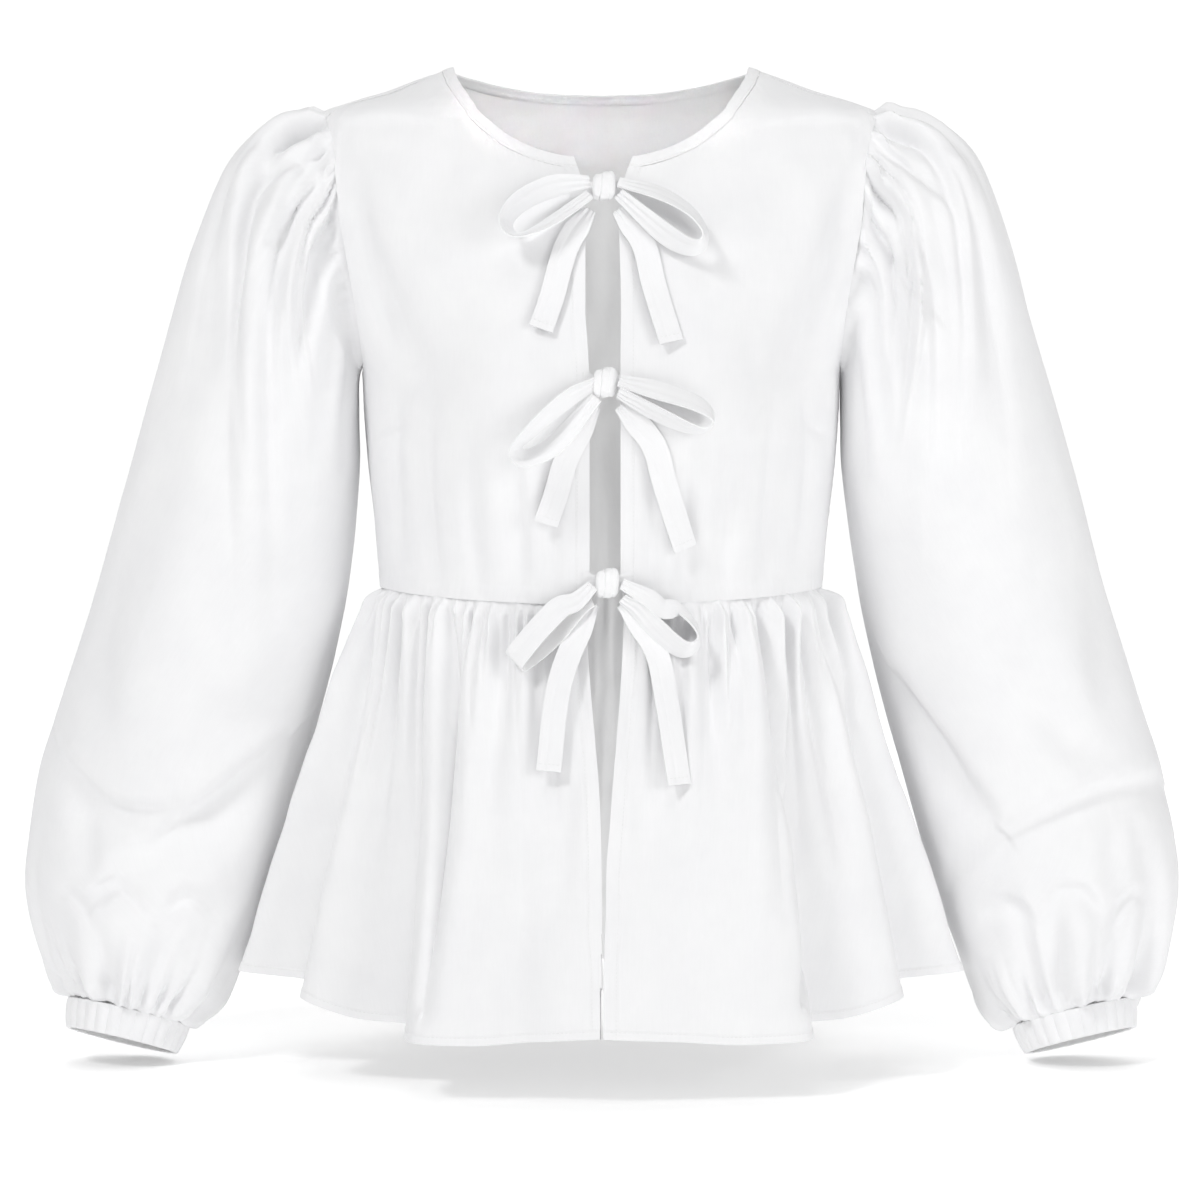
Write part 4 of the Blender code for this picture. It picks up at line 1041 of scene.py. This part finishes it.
def shoulder_and_neck(first, line, gap_angle, count_neck, count_out):
    seam_angle = SHOULDER_SEAM_ANGLE + gap_angle
    neck = evenly(line, first, seam_angle, count_neck)
    end_angle, end_height = armhole(np.array([SEAM_AT_ARMHOLE]))
    out = np.linspace(0, 1, count_out + 1)[1:]
    start_height = line(np.array([seam_angle]))[0]
    angles = np.concatenate([neck, seam_angle + (end_angle[0] + gap_angle - seam_angle) * out])
    return angles, np.concatenate([line(neck), start_height + (end_height[0] - start_height) * out])


def resampled(edge, places):
    start = np.linspace(0, 1, len(edge[0]))
    return tuple(np.interp(places, start, part) for part in edge)


def bodice_grid(side, front, columns, rows):
    """Angles and heights of half the bodice, front or back, as its solid is cut."""
    gap = -1 if front else 1
    first = front_corner(below_band, side) if front else 180.0
    hole = (180.0, SEAM_AT_ARMHOLE) if front else (180.0, 360.0 + SEAM_AT_ARMHOLE)
    top = shoulder_and_neck(first, below_band, gap * SHOULDER_GAP_ANGLE, 161, 80)
    end = side_and_armhole(*hole, 96, 193, gap * SIDE_GAP_ANGLE)
    end[0][-1] += gap * SHOULDER_GAP_ANGLE
    waist = WAIST_HEIGHT["front" if front else "back"]
    top, end = resampled(top, columns), resampled(end, rows)
    start_height = waist + (top[1][0] - waist) * rows
    start_angle = front_edge_angle(start_height, side) if front else np.full(len(rows), 180.0)
    low_angle = start_angle[0] + (end[0][0] - start_angle[0]) * columns
    return patch((low_angle, waist_height(low_angle)), top, (start_angle, start_height), end, columns, rows)


def bodice_seams(cloth, seed):
    """Puckers and allowances along the waist, neck and armhole seams."""
    from_waist = cloth.along
    from_top = cloth.along[-1] - cloth.along
    from_end = cloth.across[:, -1:] - cloth.across
    cloth.lift += 0.22 * MM * (1 - smoothstep(ALLOWANCE - 0.0015, ALLOWANCE + 0.0015, from_waist))
    cloth.lift += puckers(cloth.across, from_waist, 0.32 * MM, 0.006, 0.006, seed)
    cloth.lift += puckers(cloth.across, from_top, 0.30 * MM, 0.005, 0.007, seed + 1)
    cloth.lift += puckers(cloth.along, from_end, 0.22 * MM, 0.007, 0.007, seed + 2)


def bodice_front(word, side, creases):
    columns = crowded(151, (0.035, 0.012, 3.0))
    rows = crowded(191, (0.0, 0.04, 1.0), (1.0, 0.05, 1.0))
    angle, height = bodice_grid(side, True, columns, rows)
    cloth = Cloth(f"front_cloth_{word}", torso(angle, height), False, side, torso_normal(angle, height))
    panel = PANELS["front"]
    cloth.crease(creases, deeper=panel["deeper"])
    drape(cloth, *panel["folds"], seeded(15, side), 0.15)
    bodice_seams(cloth, seeded(11, side))
    cloth.lift += hem_band(cloth.across, FACING, FACING_PROUD)
    cloth.lift += puckers(cloth.along, np.abs(cloth.across - FACING), 0.10 * MM, 0.010, 0.004, 31)
    thing = cloth.build(WHITE_POPLIN)
    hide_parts(f"bodice_front_{word}")
    stitches(f"front_stitches_{word}", [seam_line(cloth, "first_column", FACING - STITCH_INSET)])


BACK_CREASES = (
    (-100, -205, -97, -270, -92, -330, -1.6, 8, 10),
    (-60, -215, -62, -270, -58, -332, -1.4, 9, 7),
    (-22, -190, -26, -260, -20, -332, -1.3, 8, 10),
    (18, -205, 22, -270, 20, -332, -1.4, 10, 8),
    (60, -200, 58, -265, 64, -332, -1.6, 8, 9),
    (98, -210, 96, -270, 90, -330, -1.4, 10, 8),
    (-150, -80, -130, -130, -100, -180, -1.8, 14, 10),
    (150, -80, 128, -130, 104, -185, -1.8, 10, 14),
    (-120, -40, -80, -55, -40, -60, -1.2, 12, 12),
    (120, -40, 80, -55, 40, -60, -1.2, 12, 12),
    (-5, -60, 2, -110, -4, -170, -1, 12, 12),
)


def both_halves(left, right=None):
    """A grid's left half, columns from the centre out, with the other's mirror image before it."""
    right = left if right is None else right
    return np.concatenate([right[:, :0:-1] * np.array((-1, 1, 1)), left], axis=1)


def bodice_back():
    columns = np.linspace(0, 1, 76)
    rows = crowded(121, (0.0, 0.04, 1.0), (1.0, 0.05, 1.0))
    angle, height = bodice_grid(LEFT, False, columns, rows)
    points, outward = both_halves(torso(angle, height)), both_halves(torso_normal(angle, height))
    cloth = Cloth("back_cloth", points, False, LEFT, outward)
    panel = PANELS["back"]
    cloth.crease(BACK_CREASES, BACKWARD, panel["deeper"])
    drape(cloth, *panel["folds"], 45)
    bodice_seams(cloth, 41)
    thing = cloth.build(WHITE_POPLIN)
    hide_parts("bodice_back")


BAND_STITCH = 0.0013


def neck_band(name, node, side, from_back):
    """A narrow band, a little rounded, with a line of stitches near its lower edge."""
    gap = SHOULDER_GAP_ANGLE if from_back else -SHOULDER_GAP_ANGLE
    edges = []
    for line, panel_line in ((band_seam, below_band), (neckline_height, neckline_height)):
        first = 180.0 if from_back else front_corner(line, side)
        angle = evenly(panel_line, first, SHOULDER_SEAM_ANGLE + gap, 141)
        edges.append(np.stack([angle, line(angle)]))
    rise = crowded(17, (0.16, 0.08, 2.0))[:, None, None]
    grid = edges[0] + (edges[1] - edges[0]) * rise
    points, outward = torso(grid[:, 0], grid[:, 1]), torso_normal(grid[:, 0], grid[:, 1])
    if from_back:
        points, outward = both_halves(points), both_halves(outward)
    cloth = Cloth(name, points, False, side, outward)
    cloth.thickness = DOUBLED
    share = cloth.along / cloth.along[-1]
    cloth.lift += 0.32 * MM * np.sin(np.pi * share.clip(0.05, 1))
    cloth.lift += puckers(cloth.across, np.abs(cloth.along - BAND_STITCH), 0.16 * MM, 0.0045, 0.006, 51)
    cloth.lift -= 0.16 * MM * hump(cloth.along - BAND_STITCH, 0.0004)
    thing = cloth.build(WHITE_POPLIN)
    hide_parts(node)
    stitches(name + "_stitches", [seam_line(cloth, "first_row", BAND_STITCH)])


# ---------------------------------------------------------------- peplum

HEM_WIDTH = 0.0055
TUCK_DEPTH = 0.0012


def waist_gathers(cloth, count, seed, calm_start):
    """Gathers along the waist, shallower over the facing where the piece starts with one."""
    calm = 0.45 + 0.55 * smoothstep(0.015, 0.06, cloth.across) if calm_start else 1.0
    add_gathers(cloth, "waist", cloth.across[:1], cloth.along, cloth.across[0, -1], seed, 0.0, count, calm)


def peplum_finish(cloth, count, seed, calm_start=False):
    from_hem = cloth.along[-1] - cloth.along
    waist_gathers(cloth, count, seed, calm_start)
    cloth.lift -= 1.0 * MM * (1 - smoothstep(0, 0.006, cloth.along))
    cloth.tuck_under(0.0020, TUCK_DEPTH)
    cloth.lift += hem_band(from_hem, HEM_WIDTH)
    cloth.lift += puckers(cloth.across, np.abs(from_hem - HEM_WIDTH), 0.14 * MM, 0.008, 0.003, seed)


def peplum_front(word, side, creases):
    columns = crowded(265, (0.03, 0.02, 0.8))
    rows = crowded(119, (0.0, 0.06, 1.2), (0.978, 0.006, 5.0))
    down = rows[:, None]
    start = peplum_edge_angle(down, side)
    angle = start + (90.0 - SIDE_GAP_ANGLE - start) * columns[None, :]
    points = peplum(angle, np.broadcast_to(down, angle.shape), side)
    shut = 1.1 * MM * smoothstep(0.7, 0.85, down) * (1 - smoothstep(0.0, 0.1, columns))[None, :]
    points[..., 0] -= np.sign(points[..., 0]) * shut
    cloth = Cloth(f"peplum_cloth_{word}", points, False, side, points * np.array((1, 1, 0)))
    panel = PANELS["peplum_front"]
    seed = seeded(61, side)
    cloth.crease(creases, deeper=panel["deeper"])
    drape(cloth, *panel["folds"], seed + 5)
    peplum_finish(cloth, WAIST_GATHERS["front"], seed, True)
    cloth.lift += hem_band(cloth.across, FACING, FACING_PROUD)
    thing = cloth.build(WHITE_POPLIN)
    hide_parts(f"peplum_front_{word}")
    hem_line = seam_line(cloth, "last_row", HEM_WIDTH - STITCH_INSET)
    edge_line = seam_line(cloth, "first_column", FACING - STITCH_INSET)
    stitches(f"peplum_stitches_{word}", [hem_line, edge_line])


def peplum_back():
    rows = crowded(101, (0.0, 0.06, 1.2), (0.978, 0.006, 4.0))
    down = rows[:, None]
    angle = np.broadcast_to(np.linspace(180.0, 90.0 + SIDE_GAP_ANGLE, 181), (len(rows), 181))
    points = both_halves(*(peplum(angle, np.broadcast_to(down, angle.shape), side) for side in (LEFT, RIGHT)))
    cloth = Cloth("peplum_cloth_back", points, False, LEFT, points * np.array((1, 1, 0)))
    panel = PANELS["peplum_back"]
    drape(cloth, *panel["folds"], 85)
    peplum_finish(cloth, WAIST_GATHERS["back"], 81)
    thing = cloth.build(WHITE_POPLIN)
    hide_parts("peplum_back")
    stitches("peplum_stitches_back", [seam_line(cloth, "last_row", HEM_WIDTH - STITCH_INSET)])


# ---------------------------------------------------------------- sleeves and cuffs

SLEEVE_RINGS = 261
SLEEVE_TURNS = -180.0 + 360.0 * np.arange(252) / 252


def sleeve_places(count):
    """Places along the sleeve, evenly apart on the cloth but closer at its two ends."""
    along = np.linspace(0, len(SLEEVE_SECTIONS), 600)
    lines = sleeve(np.array([0.0, 90.0, 180.0, 270.0]), along)
    length = walked(lines, 0).mean(axis=1)
    return np.interp(crowded(count, (0.0, 0.05, 1.0), (1.0, 0.08, 1.4)) * length[-1], length, along)


HOLE_ROUND = 0.43
WRIST_ROUND = 0.22


def head_gathers(cloth, seed):
    """Gathers round the top of the sleeve, which fall towards the underarm on either side."""
    seam = SLEEVE_TURNS[None, :] / 360 * HOLE_ROUND
    spread = 2 * HEAD_GATHER_SPREAD / 360 * HOLE_ROUND
    over = 1 - smoothstep(HEAD_GATHER_SPREAD - 40, HEAD_GATHER_SPREAD, np.abs(SLEEVE_TURNS))[None, :]
    add_gathers(cloth, "head", seam, cloth.along, spread, seed, -spread / 2, calm=over)
    cloth.tuck_under(0.0022, TUCK_DEPTH)


def wrist_gathers(cloth, seed):
    """Gathers all round the wrist that draw the balloon's fullness into the cuff."""
    away = cloth.along[-1] - cloth.along
    seam = SLEEVE_TURNS[None, :] / 360 * WRIST_ROUND
    add_gathers(cloth, "wrist", seam, away, WRIST_ROUND, seed, -WRIST_ROUND / 2, span_round=WRIST_ROUND)


def sleeve_cloth(word, side, creases, back_creases):
    points = sleeve(SLEEVE_TURNS, sleeve_places(SLEEVE_RINGS))
    middle = points.mean(axis=1, keepdims=True)
    cloth = Cloth(f"sleeve_cloth_{word}", points, True, side, points - middle)
    panel = PANELS["sleeve"]
    seed = seeded(101, side)
    mirrored = [(-row[0], row[1], -row[2], row[3], -row[4], *row[5:]) for row in back_creases]
    cloth.crease(creases, deeper=panel["deeper"])
    cloth.crease(mirrored, BACKWARD, panel["deeper"])
    drape(cloth, *panel["folds"], seed + 5, 0.05, 12)
    head_gathers(cloth, seed)
    wrist_gathers(cloth, seed + 10)
    thing = cloth.build(WHITE_POPLIN)
    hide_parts(f"sleeve_{word}")


def cuff_cloth(word, side):
    """The elastic cuff: uneven ribs between two firm edges."""
    turns = -180.0 + 360.0 * np.arange(336) / 336
    middle, axis = cuff_frame()
    edge = sleeve_ring(SLEEVE_SECTIONS[-1], turns) - middle
    share = crowded(25, (0.0, 0.06, 1.5), (1.0, 0.06, 1.5))[:, None, None]
    scale = 1 + share * (CUFF["bottom_scale"] - 1)
    points = middle + edge * scale + axis * (SEAM_GAP + share * CUFF["height"])
    cloth = Cloth(f"cuff_cloth_{word}", points, True, side, points - middle)
    cloth.thickness = DOUBLED
    draw = np.random.default_rng(seeded(131, side))
    rib = (turns + 180.0) / 360 * WRIST_GATHERS
    lean = draw.uniform(-0.16, 0.16, WRIST_GATHERS + 1)
    tall = draw.uniform(0.55, 1.1, WRIST_GATHERS + 1)
    which = np.clip(rib.astype(int), 0, WRIST_GATHERS)
    phase = rib[None, :] + lean[which][None, :] * np.sin(np.pi * (rib % 1))[None, :] * (share[..., 0] - 0.5)
    ridge = np.abs(np.sin(np.pi * phase)) ** 0.8
    ends = np.sin(np.pi * share[..., 0]) ** 0.35
    cloth.lift += 1.7 * MM * tall[which][None, :] * ridge * (0.45 + 0.55 * ends)
    cloth.lift += CUFF["bulge"] * ends
    thing = cloth.build(WHITE_POPLIN)
    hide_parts(f"cuff_{word}")


# ---------------------------------------------------------------- ties


def front_cloth(x, height):
    """The front's outer side, straight behind the point (x, height): bodice or peplum."""
    x = np.asarray(x, float)
    height = np.asarray(height, float)
    on_bodice = height > WAIST_HEIGHT["front"]
    angle = np.degrees(np.arcsin(np.abs(x) / torso_size(height, "half_width")))
    bodice = torso(angle, height)[..., 1]
    side = LEFT if np.mean(x) > 0 else RIGHT
    hem = hem_size(np.abs(angle), side, "height")
    down = ((WAIST_HEIGHT["front"] - height) / (WAIST_HEIGHT["front"] - hem)).clip(0, 1)
    guess = angle
    for _ in range(12):
        reach = np.linalg.norm(peplum(guess, down, side)[..., :2], axis=-1)
        guess = np.degrees(np.arcsin((np.abs(x) / reach).clip(-1, 1)))
    return np.where(on_bodice, bodice, peplum(guess, down, side)[..., 1])


def off_the_front(x, height, proud):
    """Points this far off the front, and the way out of the cloth there."""
    step = 0.003
    slope_x = (front_cloth(x + step, height) - front_cloth(x - step, height)) / (2 * step)
    slope_z = (front_cloth(x, height + step) - front_cloth(x, height - step)) / (2 * step)
    out = unit(stacked(slope_x, -1.0, slope_z))
    return stacked(x, front_cloth(x, height), height) + out * np.reshape(proud, (-1, 1)), out


def smoothed(values, times):
    for _ in range(times):
        inner = (values[:-2] + 2 * values[1:-1] + values[2:]) / 4
        values = np.concatenate([values[:1], inner, values[-1:]])
    return values


FACE_ON = 70.0
RIBBON_STEPS = 97
RIBBON_SHELL = 0.0009


def ribbon(name, node, knot, side, rows, pinched, seed):
    """A flat ribbon along its table's route. pinched says which of its ends the knot gathers."""
    table = smoothed(through(rows, np.linspace(0, len(rows) - 1, RIBBON_STEPS)), 6)
    route = dict(zip(RIBBON_COLUMNS, table.T))
    place = np.linspace(0, 1, RIBBON_STEPS)
    x = knot[0] + side * route["out"] / 1000
    height = knot[1] - route["down"] / 1000
    middle, cloth_out = off_the_front(x, height, route["proud"] / 1000 + RIBBON["lift"])
    middle, cloth_out = smoothed(middle, 8), unit(smoothed(cloth_out, 30))
    run = unit(np.gradient(middle, axis=0))
    beside = unit(np.cross(run, cloth_out))
    turn = np.radians(route["turn"])[:, None]
    across = unit(smoothed(np.cos(turn) * cloth_out + np.sin(turn) * beside, 4))
    if pinched == "both" and np.degrees(turn.min()) > FACE_ON:
        half_way = RIBBON_STEPS // 2
        level = np.cross(middle[half_way] - middle[0], cloth_out[half_way])
        across = unit(smoothed(level - run * (run @ level)[:, None], 4))
    from_end = {"both": np.minimum(place, 1 - place), "start": place}[pinched]
    width = RIBBON["width"] * (0.5 + 0.5 * smooth_curve((0, 0.2, 1), (0, 1, 1), from_end)) / 2
    over = crowded(17, (0.0, 0.06, 1.0), (1.0, 0.06, 1.0), (0.62, 0.03, 2.0)) * 2 - 1
    points = middle[:, None] + across[:, None] * (width[:, None] * over[None, :])[..., None]
    cloth = Cloth(name, points)
    cloth.thickness = RIBBON_SHELL
    pinch = np.exp(-from_end / 0.10)[:, None]
    waves = np.cos(2 * np.pi * (1.4 * over[None, :] + 0.2 * seed))
    cloth.lift += CLOTH / 2 + 0.7 * MM * pinch * waves
    cloth.lift -= 0.22 * MM * hump(over[None, :] - 0.24, 0.045)
    cloth.lift -= 0.30 * MM * np.abs(over[None, :]) ** 8
    if pinched == "start":
        from_tip = cloth.along[-1] - cloth.along
        cloth.lift += hem_band(from_tip, 0.0050, 0.25 * MM)
    thing = cloth.build(TIE_POPLIN)
    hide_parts(node)
    if pinched == "start":
        stitches(name + "_stitches", [seam_line(cloth, "last_row", 0.0042)])


def upward(out):
    """The way up the cloth, where out is the way out of it."""
    up = unit(np.cross(out, np.array((1.0, 0.0, 0.0))))
    return up * np.sign(up[..., 2:3])


def squared(wave):
    return np.sign(wave) * np.abs(wave) ** 0.85


def knot_piece(number, knot):
    """Two turns of the ribbon wrapped over the pinched loops, side by side."""
    around = 72
    along = np.linspace(-1, 1, 45)
    turn = np.linspace(0, 2 * np.pi, around, endpoint=False)
    half_length, half_height, depth = 0.0074, 0.0092, 0.0104
    s, a = np.meshgrid(along, turn, indexing="ij")
    groove_at = -0.30 + 0.14 * np.sin(a + 0.7)
    bulge = (1 - np.abs(s) ** 5).clip(0, 1) ** 0.35 * (1 - 0.07 * (s < groove_at))
    bulge = bulge * (1 - 0.10 * hump(s - groove_at, 0.045))
    bulge = bulge * (1 - 0.05 * hump(s - 0.34 - 0.1 * np.cos(a), 0.06))
    bulge = bulge * (1 + 0.018 * np.sin(9 * a + 5 * s) + 0.012 * np.sin(5 * a - 9 * s + number))
    bulge = np.where(np.abs(s) > 0.999, 0.02, bulge)
    x = knot[0] + half_length * s
    rise = half_height * squared(np.sin(a)) * bulge
    proud = depth / 2 * (1 + squared(np.cos(a)) * bulge)
    root, out = off_the_front(np.array([knot[0]]), np.array([knot[1]]), SEAM_GAP)
    up = upward(out[0])
    tilt = 0.10 * half_height * s
    points = stacked(x, 0 * x, 0 * x) + (root[0] - np.array((root[0][0], 0, 0)))
    points = points + (rise + tilt)[..., None] * up + proud[..., None] * out[0]
    faces = quads(len(along), around, 0, True).tolist()
    last = (len(along) - 1) * around
    faces += [tuple(range(around)), tuple(range(last, last + around))[::-1]]
    places = stacked(a / (2 * np.pi) * 0.05, s * half_length).reshape(-1, 2)
    thing = mesh_object(f"knot_cloth_{number}", points.reshape(-1, 3), faces, places)
    finish_piece(thing, TIE_POPLIN)
    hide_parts(f"tie_{number}_knot")


STRAP_REACH = 0.0150


def strap(number, knot):
    """The pinched ribbon that joins the knot to the two front edges, flat against the cloth."""
    x = knot[0] + np.linspace(-STRAP_REACH, STRAP_REACH, 61)
    height = np.full(61, knot[1])
    middle, out = off_the_front(x, height, 0.0008)
    up = upward(out)
    over = np.linspace(-1, 1, 17)
    half = 0.0045 + 0.0022 * smoothstep(0.006, STRAP_REACH, np.abs(x - knot[0]))
    points = middle[:, None] + up[:, None] * (half[:, None] * over[None, :])[..., None]
    cloth = Cloth(f"strap_cloth_{number}", points, outward=out[:, None] + 0 * points)
    near_knot = np.exp(-np.abs(x - knot[0]) / 0.006)[:, None]
    cloth.lift += 0.5 * MM * near_knot * np.cos(3 * np.pi * over)[None, :]
    cloth.build(TIE_POPLIN)


# Each ribbon runs from its knot: out is towards its own side, down is below the knot and proud is
# how far it stands off the cloth, all in millimetres. Turn is the tilt of its width out of the
# cloth, in degrees.
RIBBON_COLUMNS = ("out", "down", "proud", "turn")
LOOPS = (
    {
        "right": (
            (8.8, -2, 6, 60), (30, 2, 11, 50), (49, 12, 14.5, 40), (58.5, 24, 14, 25),
            (52.5, 32.5, 12.5, 25), (34, 25, 10.5, 40), (8.8, 6, 7.5, 60),
        ),
        "left": (
            (8.8, -2, 6, 60), (33, 6, 11, 50), (52, 19, 14.5, 40), (60.5, 33, 14, 25),
            (54, 40.5, 12.5, 25), (37, 32, 10.5, 40), (8.8, 6, 7.5, 60),
        ),
    },
    {
        "right": (
            (8.8, 0, 6, 60), (27, 10, 11, 50), (45, 25, 14.5, 40), (54.5, 36, 14, 25),
            (48.5, 41.5, 12.5, 25), (32, 33, 10.5, 40), (8.8, 9, 7.5, 60),
        ),
        "left": (
            (8.8, -1, 6, 60), (32, 5, 11, 50), (52, 12, 14.5, 40), (60.5, 20, 14, 25),
            (55, 27, 12.5, 25), (37, 21, 10.5, 40), (8.8, 6, 7.5, 60),
        ),
    },
    {
        "right": (
            (9, 1, 7, 75), (24, 16.5, 12, 86), (40, 34, 14, 88), (53, 49.5, 12.5, 88),
            (54.5, 52, 8.5, 88), (50, 49.5, 5.5, 86), (30, 33, 5.8, 84), (9, 11, 6.5, 75),
        ),
        "left": (
            (8.8, 0, 6, 60), (30, 12, 11, 50), (47, 28, 14.5, 40), (52.5, 41, 14, 25),
            (44, 46, 12.5, 25), (28, 33, 10.5, 40), (8.8, 9, 7.5, 60),
        ),
    },
)
TAILS = (
    {
        "right": (
            (8.5, 14, 1.8, 88), (23, 36, 1.2, 86), (32, 67, 1.2, 84), (39, 87.5, 1.8, 80),
        ),
        "left": (
            (8.5, 14, 1.8, 88), (24, 34, 1.2, 86), (31, 61, 1.2, 84), (41.5, 95.5, 1.8, 80),
        ),
    },
    {
        "right": (
            (8.5, 14, 1.8, 88), (25, 45, 1.2, 86), (32, 69, 1.2, 84), (38, 87, 1.8, 80),
        ),
        "left": (
            (8.5, 14, 1.8, 88), (28, 36, 1.2, 86), (36, 63, 1.2, 84), (48, 103, 1.8, 80),
        ),
    },
    {
        "right": (
            (8.5, 14, 3, 88), (23, 47, 5.5, 86), (30, 74, 6.2, 84), (34.5, 117, 6.6, 80),
        ),
        "left": (
            (8.5, 14, 3, 88), (28, 43, 5.5, 86), (35, 74, 6.2, 84), (43, 125.5, 6.6, 80),
        ),
    },
)


def tie(number, knot, loops, tails):
    knot_piece(number, knot)
    strap(number, knot)
    for word, side in SIDES:
        seed = number + (0.4 if side == LEFT else 0.0)
        ribbon(f"loop_{number}_{word}", f"tie_{number}_loop_{word}", knot, side, loops[word], "both", seed)
        ribbon(f"tail_{number}_{word}", f"tie_{number}_tail_{word}", knot, side, tails[word], "start", seed)


# ---------------------------------------------------------------- floor, light and camera

FLOOR_HEIGHT = -0.642
AIM = (0.0, 0.0, -0.342)
CAMERA_DISTANCE = 3.1
CAMERA_ELEVATION = 4.0
FRAME_WIDTH = 0.774
SENSOR = 36.0
GLOW = 0.34
WHITE = (1.0, 1.0, 1.0, 1.0)


def sweep_material():
    """A pale paper sweep, with the faintest grain."""
    made = Nodes("pale_sweep")
    place = made.add("ShaderNodeTexCoord").outputs["Object"]
    tone = made.ramp(made.noise(place, 3.0, 4.0), 0.3, 0.7, 0.895, 0.905)
    colour = made.add("ShaderNodeCombineColor", {0: tone, 1: tone, 2: tone})
    made.set(Base_Color=colour.outputs[0], Roughness=0.9, Specular_IOR_Level=0.0)
    made.set(Emission_Color=WHITE, Emission_Strength=GLOW)
    return made.material


def sweep():
    """The floor, which curves up behind into a backdrop."""
    bend = np.linspace(0, math.pi / 2, 24)
    radius = 1.6
    back = 3.0
    profile = [(-6.0, 0.0), (0.0, 0.0), (back, 0.0)]
    profile += [(back + radius * math.sin(t), radius * (1 - math.cos(t))) for t in bend[1:]]
    profile += [(back + radius, 6.0)]
    points = [(x, y, FLOOR_HEIGHT + z) for y, z in profile for x in (-9.0, 9.0)]
    faces = [(2 * k, 2 * k + 1, 2 * k + 3, 2 * k + 2) for k in range(len(profile) - 1)]
    mesh = bpy.data.meshes.new("sweep")
    mesh.from_pydata(points, [], faces)
    mesh.shade_smooth()
    floor = bpy.data.objects.new("sweep", mesh)
    bpy.context.scene.collection.objects.link(floor)
    floor.data.materials.append(sweep_material())


SOFT = math.pi
LIGHTS = (
    ("key_light", (-1.7, -2.0, 2.2), (0.7, 0.7), 36.0, AIM, SOFT),
    ("fill_light", (2.2, -2.1, 0.40), (1.2, 1.2), 20.0, AIM, SOFT),
    ("front_light", (0.4, -3.0, 0.20), (1.0, 1.0), 7.0, AIM, SOFT),
    ("top_light", (0.0, -1.2, 2.5), (1.2, 0.8), 8.0, AIM, SOFT),
    ("neck_light", (0.0, -1.6, 0.15), (0.16, 0.03), 0.012, (0.0, 0.07, -0.035), math.radians(2.5)),
    ("back_light", (0.0, 2.2, 1.2), (1.6, 1.0), 8.0, AIM, SOFT),
    ("backdrop_light", (0.0, 1.2, 2.6), (3.0, 1.0), 30.0, (0.0, 4.4, 0.4), SOFT),
)


def area_light(name, place, size, watts, aim, spread):
    light = bpy.data.lights.new(name, "AREA")
    light.shape = "RECTANGLE"
    light.size, light.size_y = size
    light.energy = watts
    light.spread = spread
    lamp = bpy.data.objects.new(name, light)
    lamp.location = place
    way = np.array(aim) - np.array(place)
    lamp.rotation_euler = Vector(way.tolist()).to_track_quat("-Z", "Y").to_euler()
    bpy.context.scene.collection.objects.link(lamp)


def studio():
    world = bpy.data.worlds.new("soft_room")
    world.use_nodes = True
    background = world.node_tree.nodes["Background"]
    background.inputs["Color"].default_value = WHITE
    background.inputs["Strength"].default_value = GLOW
    bpy.context.scene.world = world
    for row in LIGHTS:
        area_light(*row)
    view = bpy.context.scene.view_settings
    view.view_transform = "Standard"
    view.look = "None"


def camera():
    lens = SENSOR * CAMERA_DISTANCE / FRAME_WIDTH
    data = bpy.data.cameras.new("camera")
    data.lens = lens
    data.sensor_width = SENSOR
    data.shift_x = -1 / 1200
    tilt = math.radians(CAMERA_ELEVATION)
    thing = bpy.data.objects.new("camera", data)
    back, up = CAMERA_DISTANCE * math.cos(tilt), CAMERA_DISTANCE * math.sin(tilt)
    thing.location = (AIM[0], AIM[1] - back, AIM[2] + up)
    thing.rotation_euler = (math.pi / 2 - tilt, 0.0, 0.0)
    bpy.context.scene.collection.objects.link(thing)
    bpy.context.scene.camera = thing


def main():
    camera()
    studio()
    sweep()
    for word, side in SIDES:
        other = "right" if side == LEFT else "left"
        bodice_front(word, side, BODICE_CREASES[word])
        neck_band(f"neck_cloth_{word}", f"neck_band_front_{word}", side, False)
        peplum_front(word, side, PEPLUM_CREASES[word])
        sleeve_cloth(word, side, SLEEVE_CREASES[word], SLEEVE_CREASES[other])
        cuff_cloth(word, side)
    bodice_back()
    neck_band("neck_cloth_back", "neck_band_back", LEFT, True)
    peplum_back()
    for number, (knot, loops, tails) in enumerate(zip(KNOTS, LOOPS, TAILS), start=1):
        tie(number, knot, loops, tails)


main()
